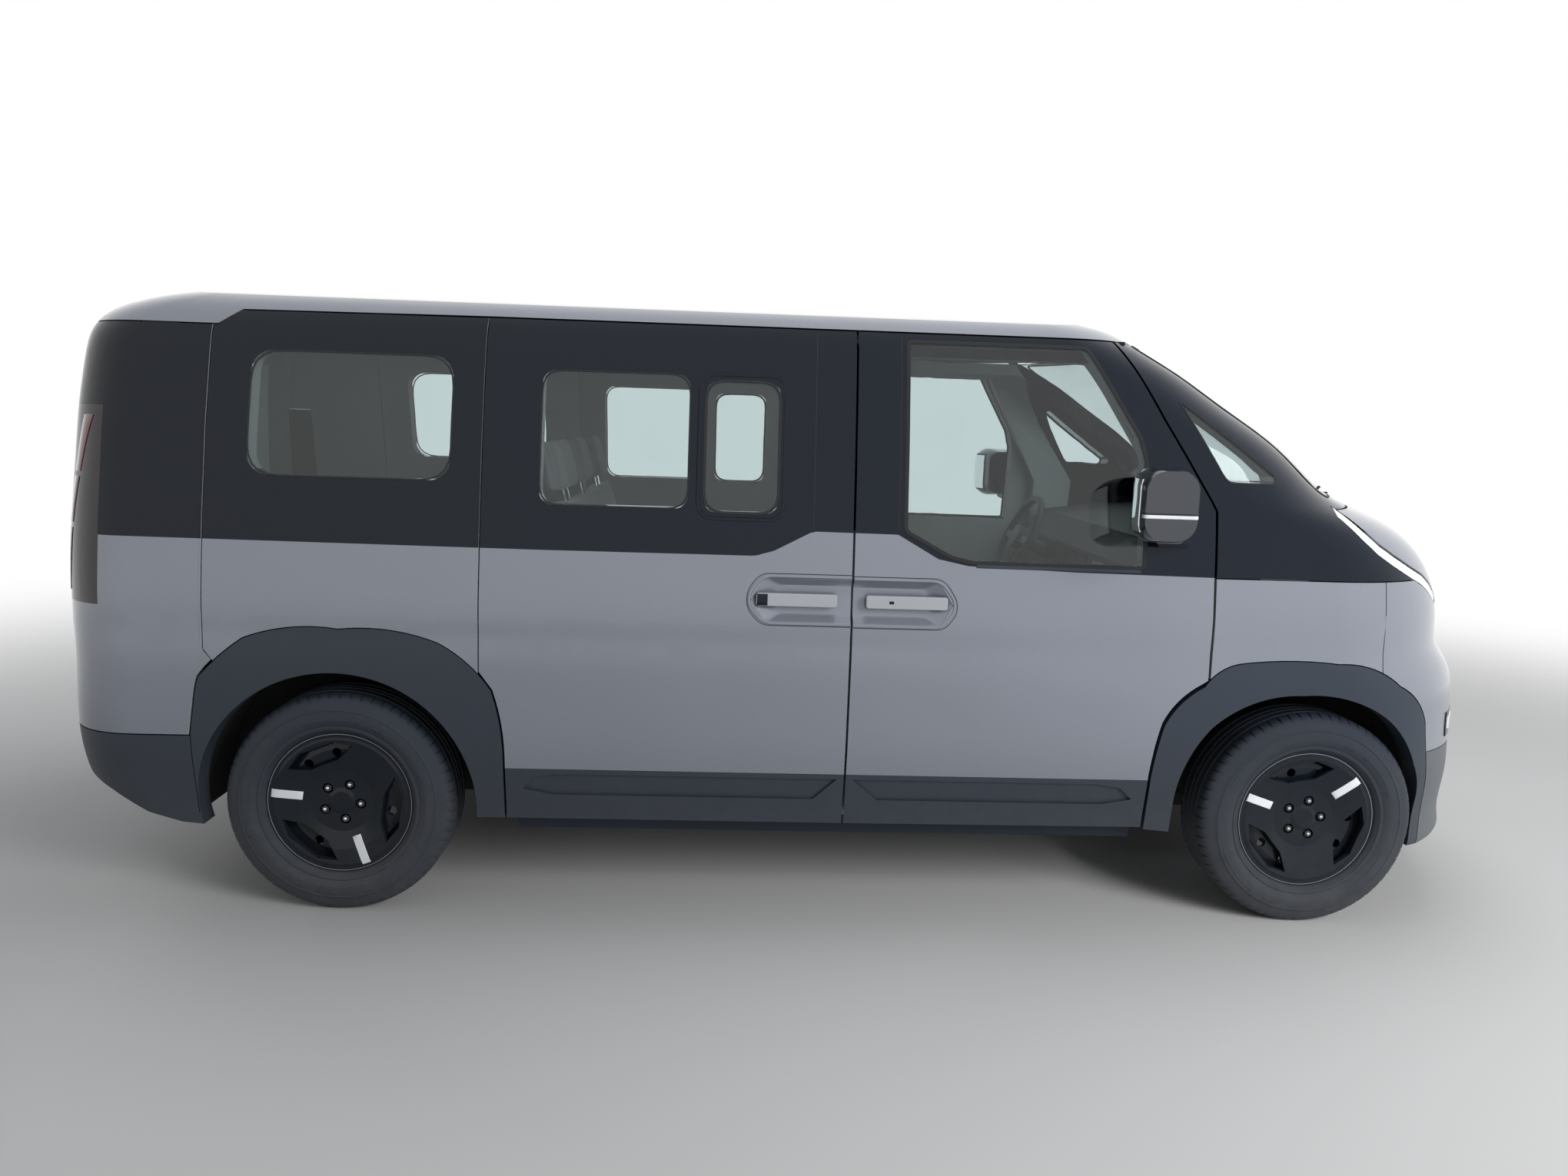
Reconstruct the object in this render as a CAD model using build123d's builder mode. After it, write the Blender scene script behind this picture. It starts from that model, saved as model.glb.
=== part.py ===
"""Electric minivan: one solid set per sub-part, all in one shared frame.

X runs forward, Y to the left, Z up; the origin is on the ground under the
middle of the vehicle. All lengths are in millimetres.
"""
from build123d import *
from collections import namedtuple
from math import asin, cos, radians, sin, sqrt
import os

os.makedirs("parts", exist_ok=True)

# Main sizes
HEIGHT = 1899.0
WHEELBASE = 2995.0
FRONT_AXLE = 1572.5
REAR_AXLE = FRONT_AXLE - WHEELBASE
TRACK = 1635.0
TYRE_R = 340.0
TYRE_W = 215.0
RIM_R = 219.0
HUB_Z = TYRE_R
WALL = 70.0
GAP = 7.0
STEER_INSET = 35.0
STOP_Y = 866.2

# Plan outlines of the body at rising heights: half width, rear and front
# reach on the centre line, depth of the front corner and the share of an
# inward offset that the front reach takes where the surface leans back.
Level = namedtuple("Level", "z half rear front corner lean")
LEVELS = [
    Level(200, 862, 2180, 2270, 245, 1.0),
    Level(300, 905, 2275, 2338, 240, 1.0),
    Level(420, 926, 2330, 2343.0, 238, 1.0),
    Level(540, 942, 2346.0, 2344.5, 240, 1.0),
    Level(700, 946.5, 2345, 2337, 248, 1.0),
    Level(820, 946.5, 2344.5, 2303, 248, 1.05),
    Level(930, 945, 2347, 2256, 247, 1.05),
    Level(1020, 938, 2346.5, 2244, 245, 1.0),
    Level(1110, 926, 2345, 2208, 240, 1.1),
    Level(1190, 915, 2341, 2146, 230, 1.3),
    Level(1255, 904, 2337, 2052, 220, 1.9),
    Level(1300, 896, 2334, 1945, 208, 2.3),
    Level(1340, 889, 2331, 1856, 198, 1.9),
    Level(1430, 874, 2325, 1742, 185, 1.6),
    Level(1570, 843, 2314, 1552, 168, 1.75),
    Level(1680, 817.5, 2299, 1376, 160, 1.8),
    Level(1740, 799, 2280, 1274, 156, 1.8),
    Level(1775, 783, 2252, 1209, 153, 1.9),
    Level(1805, 762, 2205, 1150, 150, 2.1),
    Level(1830, 732, 2145, 1096, 145, 2.4),
    Level(1850, 690, 2080, 1042, 140, 2.7),
    Level(1875, 620, 1985, 950, 130, 3.0),
    Level(1900, 540, 1880, 800, 120, 3.0),
]
FRONT_R = 1280.0
REAR_R = 3000.0
REAR_CORNER = 185.0
CROWN_R = 5000.0


def flip(p):
    """The point on the other side of the centre line."""
    return (p[0], -p[1])


def plan_outline(level, inset):
    """One plan outline of the body, moved inward by the inset."""
    yf = level.half - level.corner
    af = asin(yf / FRONT_R)
    qf = level.corner / (1 - sin(af)) - inset
    yr = level.half - REAR_CORNER
    ar = asin(yr / REAR_R)
    qr = REAR_CORNER / (1 - sin(ar)) - inset
    w = level.half - inset
    xf = level.front - inset * level.lean
    xr = -(level.rear - inset)
    pf = (xf - (FRONT_R - inset) * (1 - cos(af)), (FRONT_R - inset) * sin(af))
    sf = (pf[0] - qf * cos(af), w)
    am = (af + radians(90)) / 2
    mf = (sf[0] + qf * cos(am), w - qf + qf * sin(am))
    pr = (xr + (REAR_R - inset) * (1 - cos(ar)), (REAR_R - inset) * sin(ar))
    sr = (pr[0] + qr * cos(ar), w)
    bm = (ar + radians(90)) / 2
    mr = (sr[0] - qr * cos(bm), w - qr + qr * sin(bm))
    with BuildSketch(Plane.XY.offset(level.z)) as outline:
        with BuildLine():
            ThreePointArc(pr, (xr, 0), flip(pr))
            ThreePointArc(flip(pr), flip(mr), flip(sr))
            Line(flip(sr), flip(sf))
            ThreePointArc(flip(sf), flip(mf), flip(pf))
            ThreePointArc(flip(pf), (xf, 0), pf)
            ThreePointArc(pf, mf, sf)
            Line(sf, sr)
            ThreePointArc(sr, mr, pr)
        make_face()
    return outline.sketch.face()


def envelope(inset):
    """The whole body as one closed volume, its surface moved inward."""
    top = HEIGHT - inset
    edge = top - CROWN_R + sqrt(CROWN_R**2 - 1100**2)
    with BuildPart() as body:
        loft([plan_outline(level, inset) for level in LEVELS])
        with BuildSketch(Plane.YZ) as crown:
            with BuildLine():
                ThreePointArc((-1100, edge), (0, top), (1100, edge))
                Polyline((1100, edge), (1100, 100), (-1100, 100), (-1100, edge))
            make_face()
        extrude(amount=3000, both=True, mode=Mode.INTERSECT)
    return body.part


def trace(points, arcs=()):
    """Draws a closed outline; a point listed in arcs is the middle of an arc."""
    corner = 0
    count = len(points)
    while corner < count:
        ahead = points[(corner + 1) % count]
        if corner + 1 in arcs:
            ThreePointArc(points[corner], ahead, points[(corner + 2) % count])
            corner += 2
        else:
            Line(points[corner], ahead)
            corner += 1


def side_prism(points, y0=-1200, y1=1200, arcs=()):
    """An outline in the side view, run across the vehicle."""
    with BuildPart() as prism:
        with BuildSketch(Plane.XZ.offset(-y0)):
            with BuildLine():
                trace(points, arcs)
            make_face()
        extrude(amount=-(y1 - y0))
    return prism.part


def end_prism(points, x0, x1):
    """An outline in the front view, run along the vehicle."""
    with BuildPart() as prism:
        with BuildSketch(Plane.YZ.offset(x0)):
            with BuildLine():
                Polyline(*points, close=True)
            make_face()
        extrude(amount=x1 - x0)
    return prism.part


def block(x0, x1, y0, y1, z0, z1):
    """A plain box between given limits."""
    with BuildPart() as box:
        with Locations(((x0 + x1) / 2, (y0 + y1) / 2, (z0 + z1) / 2)):
            Box(x1 - x0, y1 - y0, z1 - z0)
    return box.part


def drum(x, z, radius, y0, y1):
    """A round bar across the vehicle."""
    with BuildPart() as bar:
        with Locations(Location((x, (y0 + y1) / 2, z), (90, 0, 0))):
            Cylinder(radius, y1 - y0)
    return bar.part


def shifted(points, dx, dz):
    return [(x + dx, z + dz) for x, z in points]


def shrunk(points, centre, share):
    """The outline drawn a little smaller about a centre."""
    return [(centre[0] + share * (x - centre[0]), centre[1] + share * (z - centre[1])) for x, z in points]


outer = envelope(0)
inner = envelope(WALL)
wall = outer - inner
wall_right = wall & block(-2500, 2500, -1000, -150, 150, 2000)
skin_inner = envelope(7)
lining = envelope(125)
within = envelope(125.6)

# Seams in the side view
SEAM_Z = 1806.0
REAR_SEAM_X = -1788.0
DOOR_REAR = 105.0
SLIDE_REAR = -996.0
SILL_Z = 304.0
BELT_FRONT = 1101.0
LEAD_LOW = [(1046, SILL_Z), (1046, 481), (1056, 573), (1073, 652), (1111, 713), (1186, 775)]
LEAD_HIGH = [(1203, 790), (1203, 930), (1203, 1020), (1203, 1110), (1203, 1200), (1203, 1300)]
LEAD_HIGH += [(1190, 1325), (1120, 1440), (1043, 1566), (974, 1688), (907, SEAM_Z)]
ARCH_REST = [(1246, 827), (1295, 845), (1430, 857), (1603, 851), (1731, 832), (1816, 782)]
ARCH_FRONT = [(1906, 715), (1940, 658), (1956, 570), (1975, 465), (1985, 351), (1985, 215)]
OPENING = [(1134, 215), (1134, 380), (1158, 528), (1230, 645), (1341, 718), (1501, 749)]
OPENING_REST = [(1649, 738), (1771, 685), (1861, 600), (1905, 524), (1932, 464), (1941, 385)]
REAR_ARCH = [(-1839, 556), (-1819, 691), (-1809, 732), (-1731, 811), (-1676, 853), (-1607, 875)]
REAR_ARCH_REST = [(-1401, 885), (-1194, 875), (-1114, 851), (-998, 762), (-958, 710)]
REAR_ARCH_LOW = [(-939, 638), (-925, 509), (-925, SILL_Z)]
REAR_ARCH_R = 412.0
LEAD_ARCS = (2, 4)
ARCH_ARCS = (2, 4, 6, 8, 10, 12, 14)
REAR_ARCS = (3, 5, 7, 9, 11)
STRIP_LOW = [(1609, 1293), (1674, 1227), (1727, 1182), (1785, 1148), (1855, 1113), (1923, 1084)]
STRIP_END = [(1968, 1056), (2017, 1016)]

half_gap = GAP / 2
lead_in = shifted(LEAD_LOW, -half_gap, half_gap) + shifted(LEAD_HIGH, -half_gap - 0.5, 0)
lead_out = shifted(LEAD_LOW, half_gap, -half_gap) + shifted(LEAD_HIGH, half_gap + 0.5, 0)

# Windows as seen from the side
WINDOWS = [
    ("door", [
        (258, 1215), (258, 1778), (805, 1778), (966, 1514), (984, 1446), (984, 1124), (462, 1127), (394, 1142)
    ]),
    ("slide_fixed", [(-827, 1262), (-827, 1655), (-392, 1655), (-392, 1262)]),
    ("slide_small", [(-345, 1254), (-345, 1641), (-124, 1641), (-124, 1254)]),
    ("rear", [(-1670, 1323), (-1670, 1684), (-1087, 1684), (-1087, 1323)]),
    ("quarter", [(1088, 1632), (1402, 1408), (1398, 1385), (1240, 1387), (1221, 1407)]),
]
WINDOW_R = {"door": 12, "slide_fixed": 38, "slide_small": 38, "rear": 60, "quarter": 8}


def window_prism(name, grow=0.0):
    """One side window's outline, run through the right-hand wall."""
    points = dict(WINDOWS)[name]
    with BuildPart() as prism:
        with BuildSketch(Plane.XZ.offset(1100)) as s:
            with BuildLine():
                Polyline(*points, close=True)
            make_face()
            fillet(s.vertices(), WINDOW_R[name])
            if grow:
                offset(amount=grow, kind=Kind.ARC, mode=Mode.REPLACE)
        extrude(amount=-700)
    return prism.part


front_arch = side_prism(lead_out[:6] + ARCH_REST + ARCH_FRONT, -1100, -560, ARCH_ARCS)
front_opening = side_prism(OPENING + OPENING_REST + [(1941, 215)], -1200, -560, (2, 4, 6, 8, 10))
rear_opening = drum(REAR_AXLE, HUB_Z, REAR_ARCH_R, -1200, -560)
rear_arch_points = REAR_ARCH + REAR_ARCH_REST + REAR_ARCH_LOW + [(-1839, SILL_Z)]
rear_arch = side_prism(rear_arch_points, -1100, -560, REAR_ARCS)


def half_width(z):
    """Half width of the body at a height."""
    for low, high in zip(LEVELS, LEVELS[1:]):
        if low.z <= z <= high.z:
            return low.half + (high.half - low.half) * (z - low.z) / (high.z - low.z)
    return LEVELS[-1].half


def door_prism():
    """The front door's outline, its rear edge sloping in behind the skin."""
    rear_x = DOOR_REAR + half_gap
    top = SEAM_Z - half_gap
    lead = lead_in[:-1] + [(lead_in[-1][0], top)]
    near = []
    far = []
    for x, z in lead:
        slope = 0.3 if z < 1310 else 0.0
        near.append((x + slope * (960 - half_width(z)), z))
        far.append((x + slope * (660 - half_width(z)), z))
    for z in (top, 1740, 1600, 1400, 1200, 1020, 820, 540, SILL_Z):
        near.append((rear_x - 0.2 * (960 - half_width(z)), z))
        far.append((rear_x - 0.2 * (660 - half_width(z)), z))
    with BuildPart() as prism:
        with BuildSketch(Plane.XZ.offset(960)):
            with BuildLine():
                trace(near, LEAD_ARCS)
            make_face()
        with BuildSketch(Plane.XZ.offset(660)):
            with BuildLine():
                trace(far, LEAD_ARCS)
            make_face()
        loft(ruled=True)
    return prism.part


HANDLE_RECESS = [(-197, 1002), (-159, 1068), (367, 1065), (407, 999), (372, 937), (-155, 939)]
recess = side_prism(HANDLE_RECESS, -1000, -915)

# Front doors
door_right = wall_right & door_prism()
door_right = door_right - window_prism("door") - recess
CLADDING_TOP = 468.0
SILL_RELIEF = [(128, 452), (205, 384), (905, 384), (1000, 402), (960, 440), (880, 452)]
SLIDE_RELIEF = [(80, 452), (10, 384), (-780, 384), (-870, 402), (-840, 440), (-780, 452)]
relief_depth = envelope(9)
front_door_cladding = door_right & block(0, 1200, -1000, -700, SILL_Z - 1, CLADDING_TOP)
front_door_cladding -= side_prism(SILL_RELIEF, -1000, -880) - relief_depth
front_door_panel = door_right - block(0, 1200, -1000, -700, SILL_Z - 1, CLADDING_TOP + 0.5)
front_door_glass = (outer & window_prism("door", -0.5)) - skin_inner

# A rubber stop inside the rear edge rests on the frame behind it
front_door_panel += block(120, 150, -880, -STOP_Y, 700, 740)
with BuildPart() as front_door_right:
    add(front_door_panel, clean=False)
front_door_right.part.label = "front_door_right"
with BuildPart() as front_door_left:
    add(mirror(front_door_panel, about=Plane.XZ), clean=False)
front_door_left.part.label = "front_door_left"
with BuildPart() as door_cladding_right:
    add(front_door_cladding, clean=False)
door_cladding_right.part.label = "door_cladding_right"
with BuildPart() as door_cladding_left:
    add(mirror(front_door_cladding, about=Plane.XZ), clean=False)
door_cladding_left.part.label = "door_cladding_left"
with BuildPart() as door_glass_right:
    add(front_door_glass, clean=False)
door_glass_right.part.label = "door_glass_right"
with BuildPart() as door_glass_left:
    add(mirror(front_door_glass, about=Plane.XZ), clean=False)
door_glass_left.part.label = "door_glass_left"


def bar_handle(x0, x1):
    """A pull bar on two feet in the recess."""
    with BuildPart() as handle:
        with BuildSketch(Plane.XZ.offset(937)) as s:
            with Locations(((x0 + x1) / 2, 1004)):
                Rectangle(x1 - x0, 40)
            fillet(s.vertices(), 8)
        extrude(amount=11)
        fillet(handle.faces().sort_by(Axis.Y)[0].edges(), 3)
        for x in (x0 + 24, x1 - 24):
            with Locations((x, -930, 1004)):
                Box(26, 26, 22)
    return handle.part


with BuildPart() as door_handle_right:
    add(bar_handle(145, 390))
    add(front_door_panel, mode=Mode.SUBTRACT)
door_handle_right.part.label = "door_handle_right"
with BuildPart() as door_handle_left:
    add(mirror(door_handle_right.part, about=Plane.XZ))
door_handle_left.part.label = "door_handle_left"


# Sections outward from the door: distance, centre, width, height, corner radius
MIRROR_SECTIONS = [
    (965, 992, 1326, 138, 190, 44),
    (1060, 974, 1327, 168, 214, 50),
    (1140, 968, 1327, 150, 196, 56),
    (890, 1085, 1212, 110, 62, 16),
    (1005, 1020, 1240, 90, 60, 16),
]


def mirror_housing():
    """The right-hand outside mirror: stalk and housing."""
    with BuildPart() as housing:
        for y, x, z, width, height, round_r in MIRROR_SECTIONS:
            with BuildSketch(Plane.XZ.offset(y)) as section:
                with Locations((x, z)):
                    Rectangle(width, height)
                fillet(section.vertices(), round_r)
            if y in (1140, 1005):
                loft()
    return housing.part


with BuildPart() as mirror_right:
    add(mirror_housing())
    add(outer.moved(Location((0, -0.6, 0))), mode=Mode.SUBTRACT)
mirror_right.part.label = "mirror_right"
with BuildPart() as mirror_left:
    add(mirror(mirror_right.part, about=Plane.XZ))
mirror_left.part.label = "mirror_left"

# Sliding doors, shown shut
slide_outline = [(DOOR_REAR - half_gap, SILL_Z), (DOOR_REAR - half_gap, SEAM_Z - half_gap)]
slide_outline += [(SLIDE_REAR + 2, SEAM_Z - half_gap), (SLIDE_REAR + 2, 766), (-955, 712)]
slide_outline += [(-935, 638), (-921, 509), (-921, SILL_Z)]
slide_prism = side_prism(slide_outline, -1100, -500, (5,))
slide = (wall_right & slide_prism) - window_prism("slide_fixed") - window_prism("slide_small") - recess
slide_cladding = slide & block(-1000, 110, -1000, -700, SILL_Z - 1, CLADDING_TOP)
slide_cladding -= side_prism(SLIDE_RELIEF, -1000, -880) - relief_depth
with BuildPart() as sliding_doors:
    add(slide - block(-1000, 110, -1000, -700, SILL_Z - 1, CLADDING_TOP + 0.5))
    add(block(55, 85, -880, -STOP_Y, 700, 740))
    mirror(about=Plane.XZ)
sliding_doors.part.label = "sliding_doors"
with BuildPart() as sliding_door_handles:
    add(bar_handle(-182, 59))
    add(slide, mode=Mode.SUBTRACT)
    mirror(about=Plane.XZ)
sliding_door_handles.part.label = "sliding_door_handles"

with BuildPart() as side_windows:
    for name in ("slide_fixed", "slide_small", "rear", "quarter"):
        add((outer & window_prism(name, -0.5)) - skin_inner)
    mirror(about=Plane.XZ)
side_windows.part.label = "side_windows"

# Body sides: rear quarter over the wheel, and the frame round the doors
quarter_points = [(REAR_SEAM_X, 816), (REAR_SEAM_X, 1753), (-1775, 1753), (-1712, 1798), (SLIDE_REAR - 2, SEAM_Z - 4)]
quarter_points += [(SLIDE_REAR - 2, 700), (-1300, 600), (-1700, 700)]
quarter = (wall_right & side_prism(quarter_points, -1100, -500)) - rear_arch - rear_opening - window_prism("rear")
RING = [(-1065, 897), (-1065, 1795), (905, 1795), (1250, 1305), (1250, 800), (1112, 724), (1040, 560), (1040, 240)]
RING += [(-900, 240), (-930, 640), (-996, 780), (-996, 897)]
SLIDE_HOLE = [(-880, 430), (-905, 650), (-935, 770), (-935, 1735), (45, 1735), (45, 430)]
DOOR_HOLE = [(165, 430), (165, 1735), (838, 1735), (975, 1500), (1085, 1300), (1085, 800), (1010, 640), (985, 430)]
door_pocket = block(SLIDE_REAR - 2, 1400, -1100, -500, 200, 1900) - envelope(81)
ring = ((envelope(60) & side_prism(RING, -1100, -500)) - side_prism(SLIDE_HOLE, -1100, -500)) - lining
ring = ring - side_prism(DOOR_HOLE, -1100, -500) - door_pocket
with BuildPart() as body_sides:
    add(quarter + ring)
    add(side_prism([(-1400, 1780), (-1300, 1780), (-1300, 1805.4), (-1400, 1804.6)], -740, -705))
    add(block(REAR_SEAM_X - 4, REAR_SEAM_X + 8, -915, -882, 1000, 1100))
    mirror(about=Plane.XZ)
body_sides.part.label = "body_sides"

# The tailgate's outline, tapering inward so that it swings clear
GATE_HALF = [(768, 560), (776, 900), (765, 1200), (728, 1450), (706, 1600), (700, 1960)]


def gate_prism(grow, low, front):
    """The tailgate's outline as a tapered block, with its sloping front face."""
    with BuildPart() as prism:
        for x, widen in ((-2400, 20), (-2050, -29)):
            half = [(y + widen + grow, low if z == 560 else z) for y, z in GATE_HALF]
            points = [(-y, z) for y, z in half] + [(y, z) for y, z in reversed(half)]
            with BuildSketch(Plane.YZ.offset(x)):
                with BuildLine():
                    Polyline(*points, close=True)
                make_face()
        loft(ruled=True)
        profile = [(front, 1990), (front, 480), (-2450, 480), (-2450, 1990)]
        add(side_prism(profile), mode=Mode.INTERSECT)
    return prism.part


gate_body = gate_prism(0, 560, -2080)
gate_hole = gate_prism(GAP, 500, -2073)

with BuildPart() as roof:
    add(wall)
    roof_points = [(-2400, 1757), (-1777, 1757), (-1714, 1802), (SLIDE_REAR, SEAM_Z + 2), (1300, SEAM_Z + 2)]
    add(side_prism(roof_points + [(1300, 1950), (-2400, 1950)]), mode=Mode.INTERSECT)
    add(gate_hole, mode=Mode.SUBTRACT)
roof.part.label = "roof"

# Windscreen and what frames it
COWL = Level(1314, 893.5, 2333, 1914, 204, 1.0)


def cowl_column(inset):
    """What lies behind the seam between hood and cowl, as an upright column."""
    with BuildPart() as column:
        add(plan_outline(COWL, inset))
        extrude(amount=700, both=True)
    return column.part


SCREEN = [(-712, 1342), (712, 1342), (655, SEAM_Z - 2), (-655, SEAM_Z - 2)]
STRIP_HIGH = shifted(STRIP_LOW + STRIP_END, 8, 24)
hood_edge = [(1500, 1400), (1500, 1324), (1626, 1318)] + shifted(STRIP_HIGH[1:], 7, 7)
strip_points = STRIP_LOW + STRIP_END + list(reversed(STRIP_HIGH))
strip_space_points = shifted(STRIP_LOW + STRIP_END, -0.6, -0.6)
strip_space_points += list(reversed([(1612, 1324)] + shifted(STRIP_HIGH[1:], 0.6, 0.6)))
strip_space = side_prism(strip_space_points, -1000, -560)
hood_space_points = hood_edge[:2] + shifted(hood_edge[2:], -5, -5)
hood_space = side_prism(hood_space_points + [(2060, 1040), (2400, 1040), (2400, 1400)])
hood_space = hood_space - cowl_column(half_gap)
frame_points = [(1207, BELT_FRONT + 2)] + lead_out[10:-1] + [(lead_out[-1][0] + 2, SEAM_Z - 2)]
frame_points += [(1400, SEAM_Z - 2), (1950, 1500), (1950, 1250), (1690, 1250)]
frame_points += [(1734, 1182), (1785, 1146), (1855, 1111), (1880, BELT_FRONT + 2)]
with BuildPart() as windscreen_frame:
    add(wall & side_prism(frame_points))
    add(hood_space, mode=Mode.SUBTRACT)
    add(strip_space, mode=Mode.SUBTRACT)
    add(mirror(strip_space, about=Plane.XZ), mode=Mode.SUBTRACT)
    add(end_prism(SCREEN, 900, 2200), mode=Mode.SUBTRACT)
    add(window_prism("quarter"), mode=Mode.SUBTRACT)
    add(mirror(window_prism("quarter"), about=Plane.XZ), mode=Mode.SUBTRACT)
    for side in (-1, 1):
        with Locations((935, side * 676, SEAM_Z - 5)):
            Box(36, 24, 14)
windscreen_frame.part.label = "windscreen_frame"
SCREEN_IN = [(-711, 1343), (711, 1343), (654, SEAM_Z - 3), (-654, SEAM_Z - 3)]
with BuildPart() as windscreen:
    add((outer & end_prism(SCREEN_IN, 900, 2200)) - skin_inner)
windscreen.part.label = "windscreen"

# Hood over the light strips
hood_outline = hood_edge + [(2060, 1046), (2400, 1046), (2400, 1400)]
with BuildPart() as hood:
    add((outer & side_prism(hood_outline)) - envelope(28) - cowl_column(-half_gap))
hood.part.label = "hood"
with BuildPart() as headlamps:
    add((outer & side_prism(strip_points, -1000, -600)) - envelope(22))
    mirror(about=Plane.XZ)
headlamps.part.label = "headlamps"

# Front wings, nose and bumper
NOSE_SEAM = 1749.0
fender_points = lead_out[5:7] + [(1207, BELT_FRONT - 2), (NOSE_SEAM - 1.5, BELT_FRONT - 2), (NOSE_SEAM - 1.5, 700), (1400, 640)]
with BuildPart() as front_wings:
    add((wall_right & side_prism(fender_points, -1100, -500)) - front_arch - front_opening)
    add(block(NOSE_SEAM - 9, NOSE_SEAM + 1.5, -920, -890, 900, 1000))
    add(block(1350, 1500, -908, -880, BELT_FRONT - 12, BELT_FRONT + 2))
    mirror(about=Plane.XZ)
front_wings.part.label = "front_wings"
nose_points = [(NOSE_SEAM + 1.5, 560), (NOSE_SEAM + 1.5, BELT_FRONT - 2), (1880, BELT_FRONT - 2)]
nose_points += shifted(STRIP_LOW[5:] + STRIP_END, 0, -3) + [(2060, 1013), (2062, 1038), (2400, 1038), (2400, 560)]
with BuildPart() as nose_panel:
    add(wall)
    add(side_prism(nose_points), mode=Mode.INTERSECT)
    for side in (front_arch, mirror(front_arch, about=Plane.XZ)):
        add(side, mode=Mode.SUBTRACT)
    for side in (front_opening, mirror(front_opening, about=Plane.XZ)):
        add(side, mode=Mode.SUBTRACT)
    for side in (-1, 1):
        with Locations((2184, side * 300, 1037.7)):
            Box(16, 20, 15.4)
nose_panel.part.label = "nose_panel"
bumper_points = [(1700, 557), (2400, 557), (2400, 330), (2200, 285), (2060, 252), (1900, 225), (1700, 225)]
with BuildPart() as front_bumper:
    add(wall)
    add(side_prism(bumper_points), mode=Mode.INTERSECT)
    for side in (front_arch, mirror(front_arch, about=Plane.XZ)):
        add(side, mode=Mode.SUBTRACT)
    for side in (front_opening, mirror(front_opening, about=Plane.XZ)):
        add(side, mode=Mode.SUBTRACT)
    for side in (-1, 1):
        with Locations((2220, side * 450, 552)):
            Box(30, 40, 16)
    with Locations(Location((2330, 420, 430), (0, 90, 0))):
        Cylinder(9, 200, mode=Mode.SUBTRACT)
front_bumper.part.label = "front_bumper"

# Cladding round the wheel openings and along the sliding doors
front_cladding = side_prism(
    shrunk(lead_out[:6] + ARCH_REST + ARCH_FRONT, (1510, 300), 0.9935), -1100, -560, ARCH_ARCS
)
rear_cladding = side_prism(shrunk(rear_arch_points, (-1385, SILL_Z), 0.9945), -1100, -560, REAR_ARCS)
with BuildPart() as body_cladding:
    add((wall_right & front_cladding) - front_opening - block(900, 2100, -1100, -500, 0, 240))
    add((wall_right & rear_cladding) - rear_opening)
    add(block(1450, 1550, -925, -892, 835, 854.5))
    add(block(-1450, -1350, -925, -892, 865, 884.5))
    add(slide_cladding)
    mirror(about=Plane.XZ)
body_cladding.part.label = "body_cladding"

# Rear bumper, corners, lamps and tailgate
rear_bumper_points = [(-1750, 552), (-2400, 552), (-2400, 430), (-2180, 400), (-2098, 365)]
rear_bumper_points += [(-1989, 303), (-1889, 272), (-1750, 258)]
with BuildPart() as rear_bumper:
    add(wall)
    add(side_prism(rear_bumper_points), mode=Mode.INTERSECT)
    add(rear_arch, mode=Mode.SUBTRACT)
    add(mirror(rear_arch, about=Plane.XZ), mode=Mode.SUBTRACT)
    add(rear_opening, mode=Mode.SUBTRACT)
    add(mirror(rear_opening, about=Plane.XZ), mode=Mode.SUBTRACT)
    for side in (-1, 1):
        with Locations((-2050, side * 905, 550)):
            Box(100, 30, 12)
        with Locations((-2283, side * 500, 552)):
            Box(20, 40, 14.8)
    with Locations(Location((-2330, 420, 480), (0, 90, 0))):
        Cylinder(9, 200, mode=Mode.SUBTRACT)
rear_bumper.part.label = "rear_bumper"

GATE_GLASS = [(-610, 1180), (610, 1180), (560, 1690), (-560, 1690)]
with BuildPart() as tailgate:
    add(wall)
    add(gate_body, mode=Mode.INTERSECT)
    add(end_prism(GATE_GLASS, -2400, -2150), mode=Mode.SUBTRACT)
tailgate.part.label = "tailgate"
with BuildPart() as tailgate_glass:
    glass_points = [(y * (1 - 1 / abs(y)), z + (1 if z < 1500 else -1)) for y, z in GATE_GLASS]
    add((outer & end_prism(glass_points, -2400, -2150)) - skin_inner)
tailgate_glass.part.label = "tailgate_glass"

lamp_prism = side_prism([(-2089, 938), (-2089, 1511), (-2500, 1511), (-2500, 938)], -1100, -500)
lamp_pocket = side_prism([(-2088.4, 937.4), (-2088.4, 1511.6), (-2500, 1511.6), (-2500, 937.4)], -1100, -500)
corner_points = [(REAR_SEAM_X - 4, 816), (REAR_SEAM_X - 4, 1753), (-2400, 1753), (-2400, 556)]
corner_points += [(-1843, 556), (-1823, 691), (-1813, 734)]
with BuildPart() as rear_corners:
    add((wall_right & side_prism(corner_points, -1100, -300)) - gate_hole - lamp_pocket - rear_arch)
    add(block(-2000, -1900, -775, -742, 1745, 1757))
    mirror(about=Plane.XZ)
rear_corners.part.label = "rear_corners"
with BuildPart() as tail_lamps:
    add(((outer & lamp_prism) - envelope(45)) - gate_hole)
    mirror(about=Plane.XZ)
tail_lamps.part.label = "tail_lamps"

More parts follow.
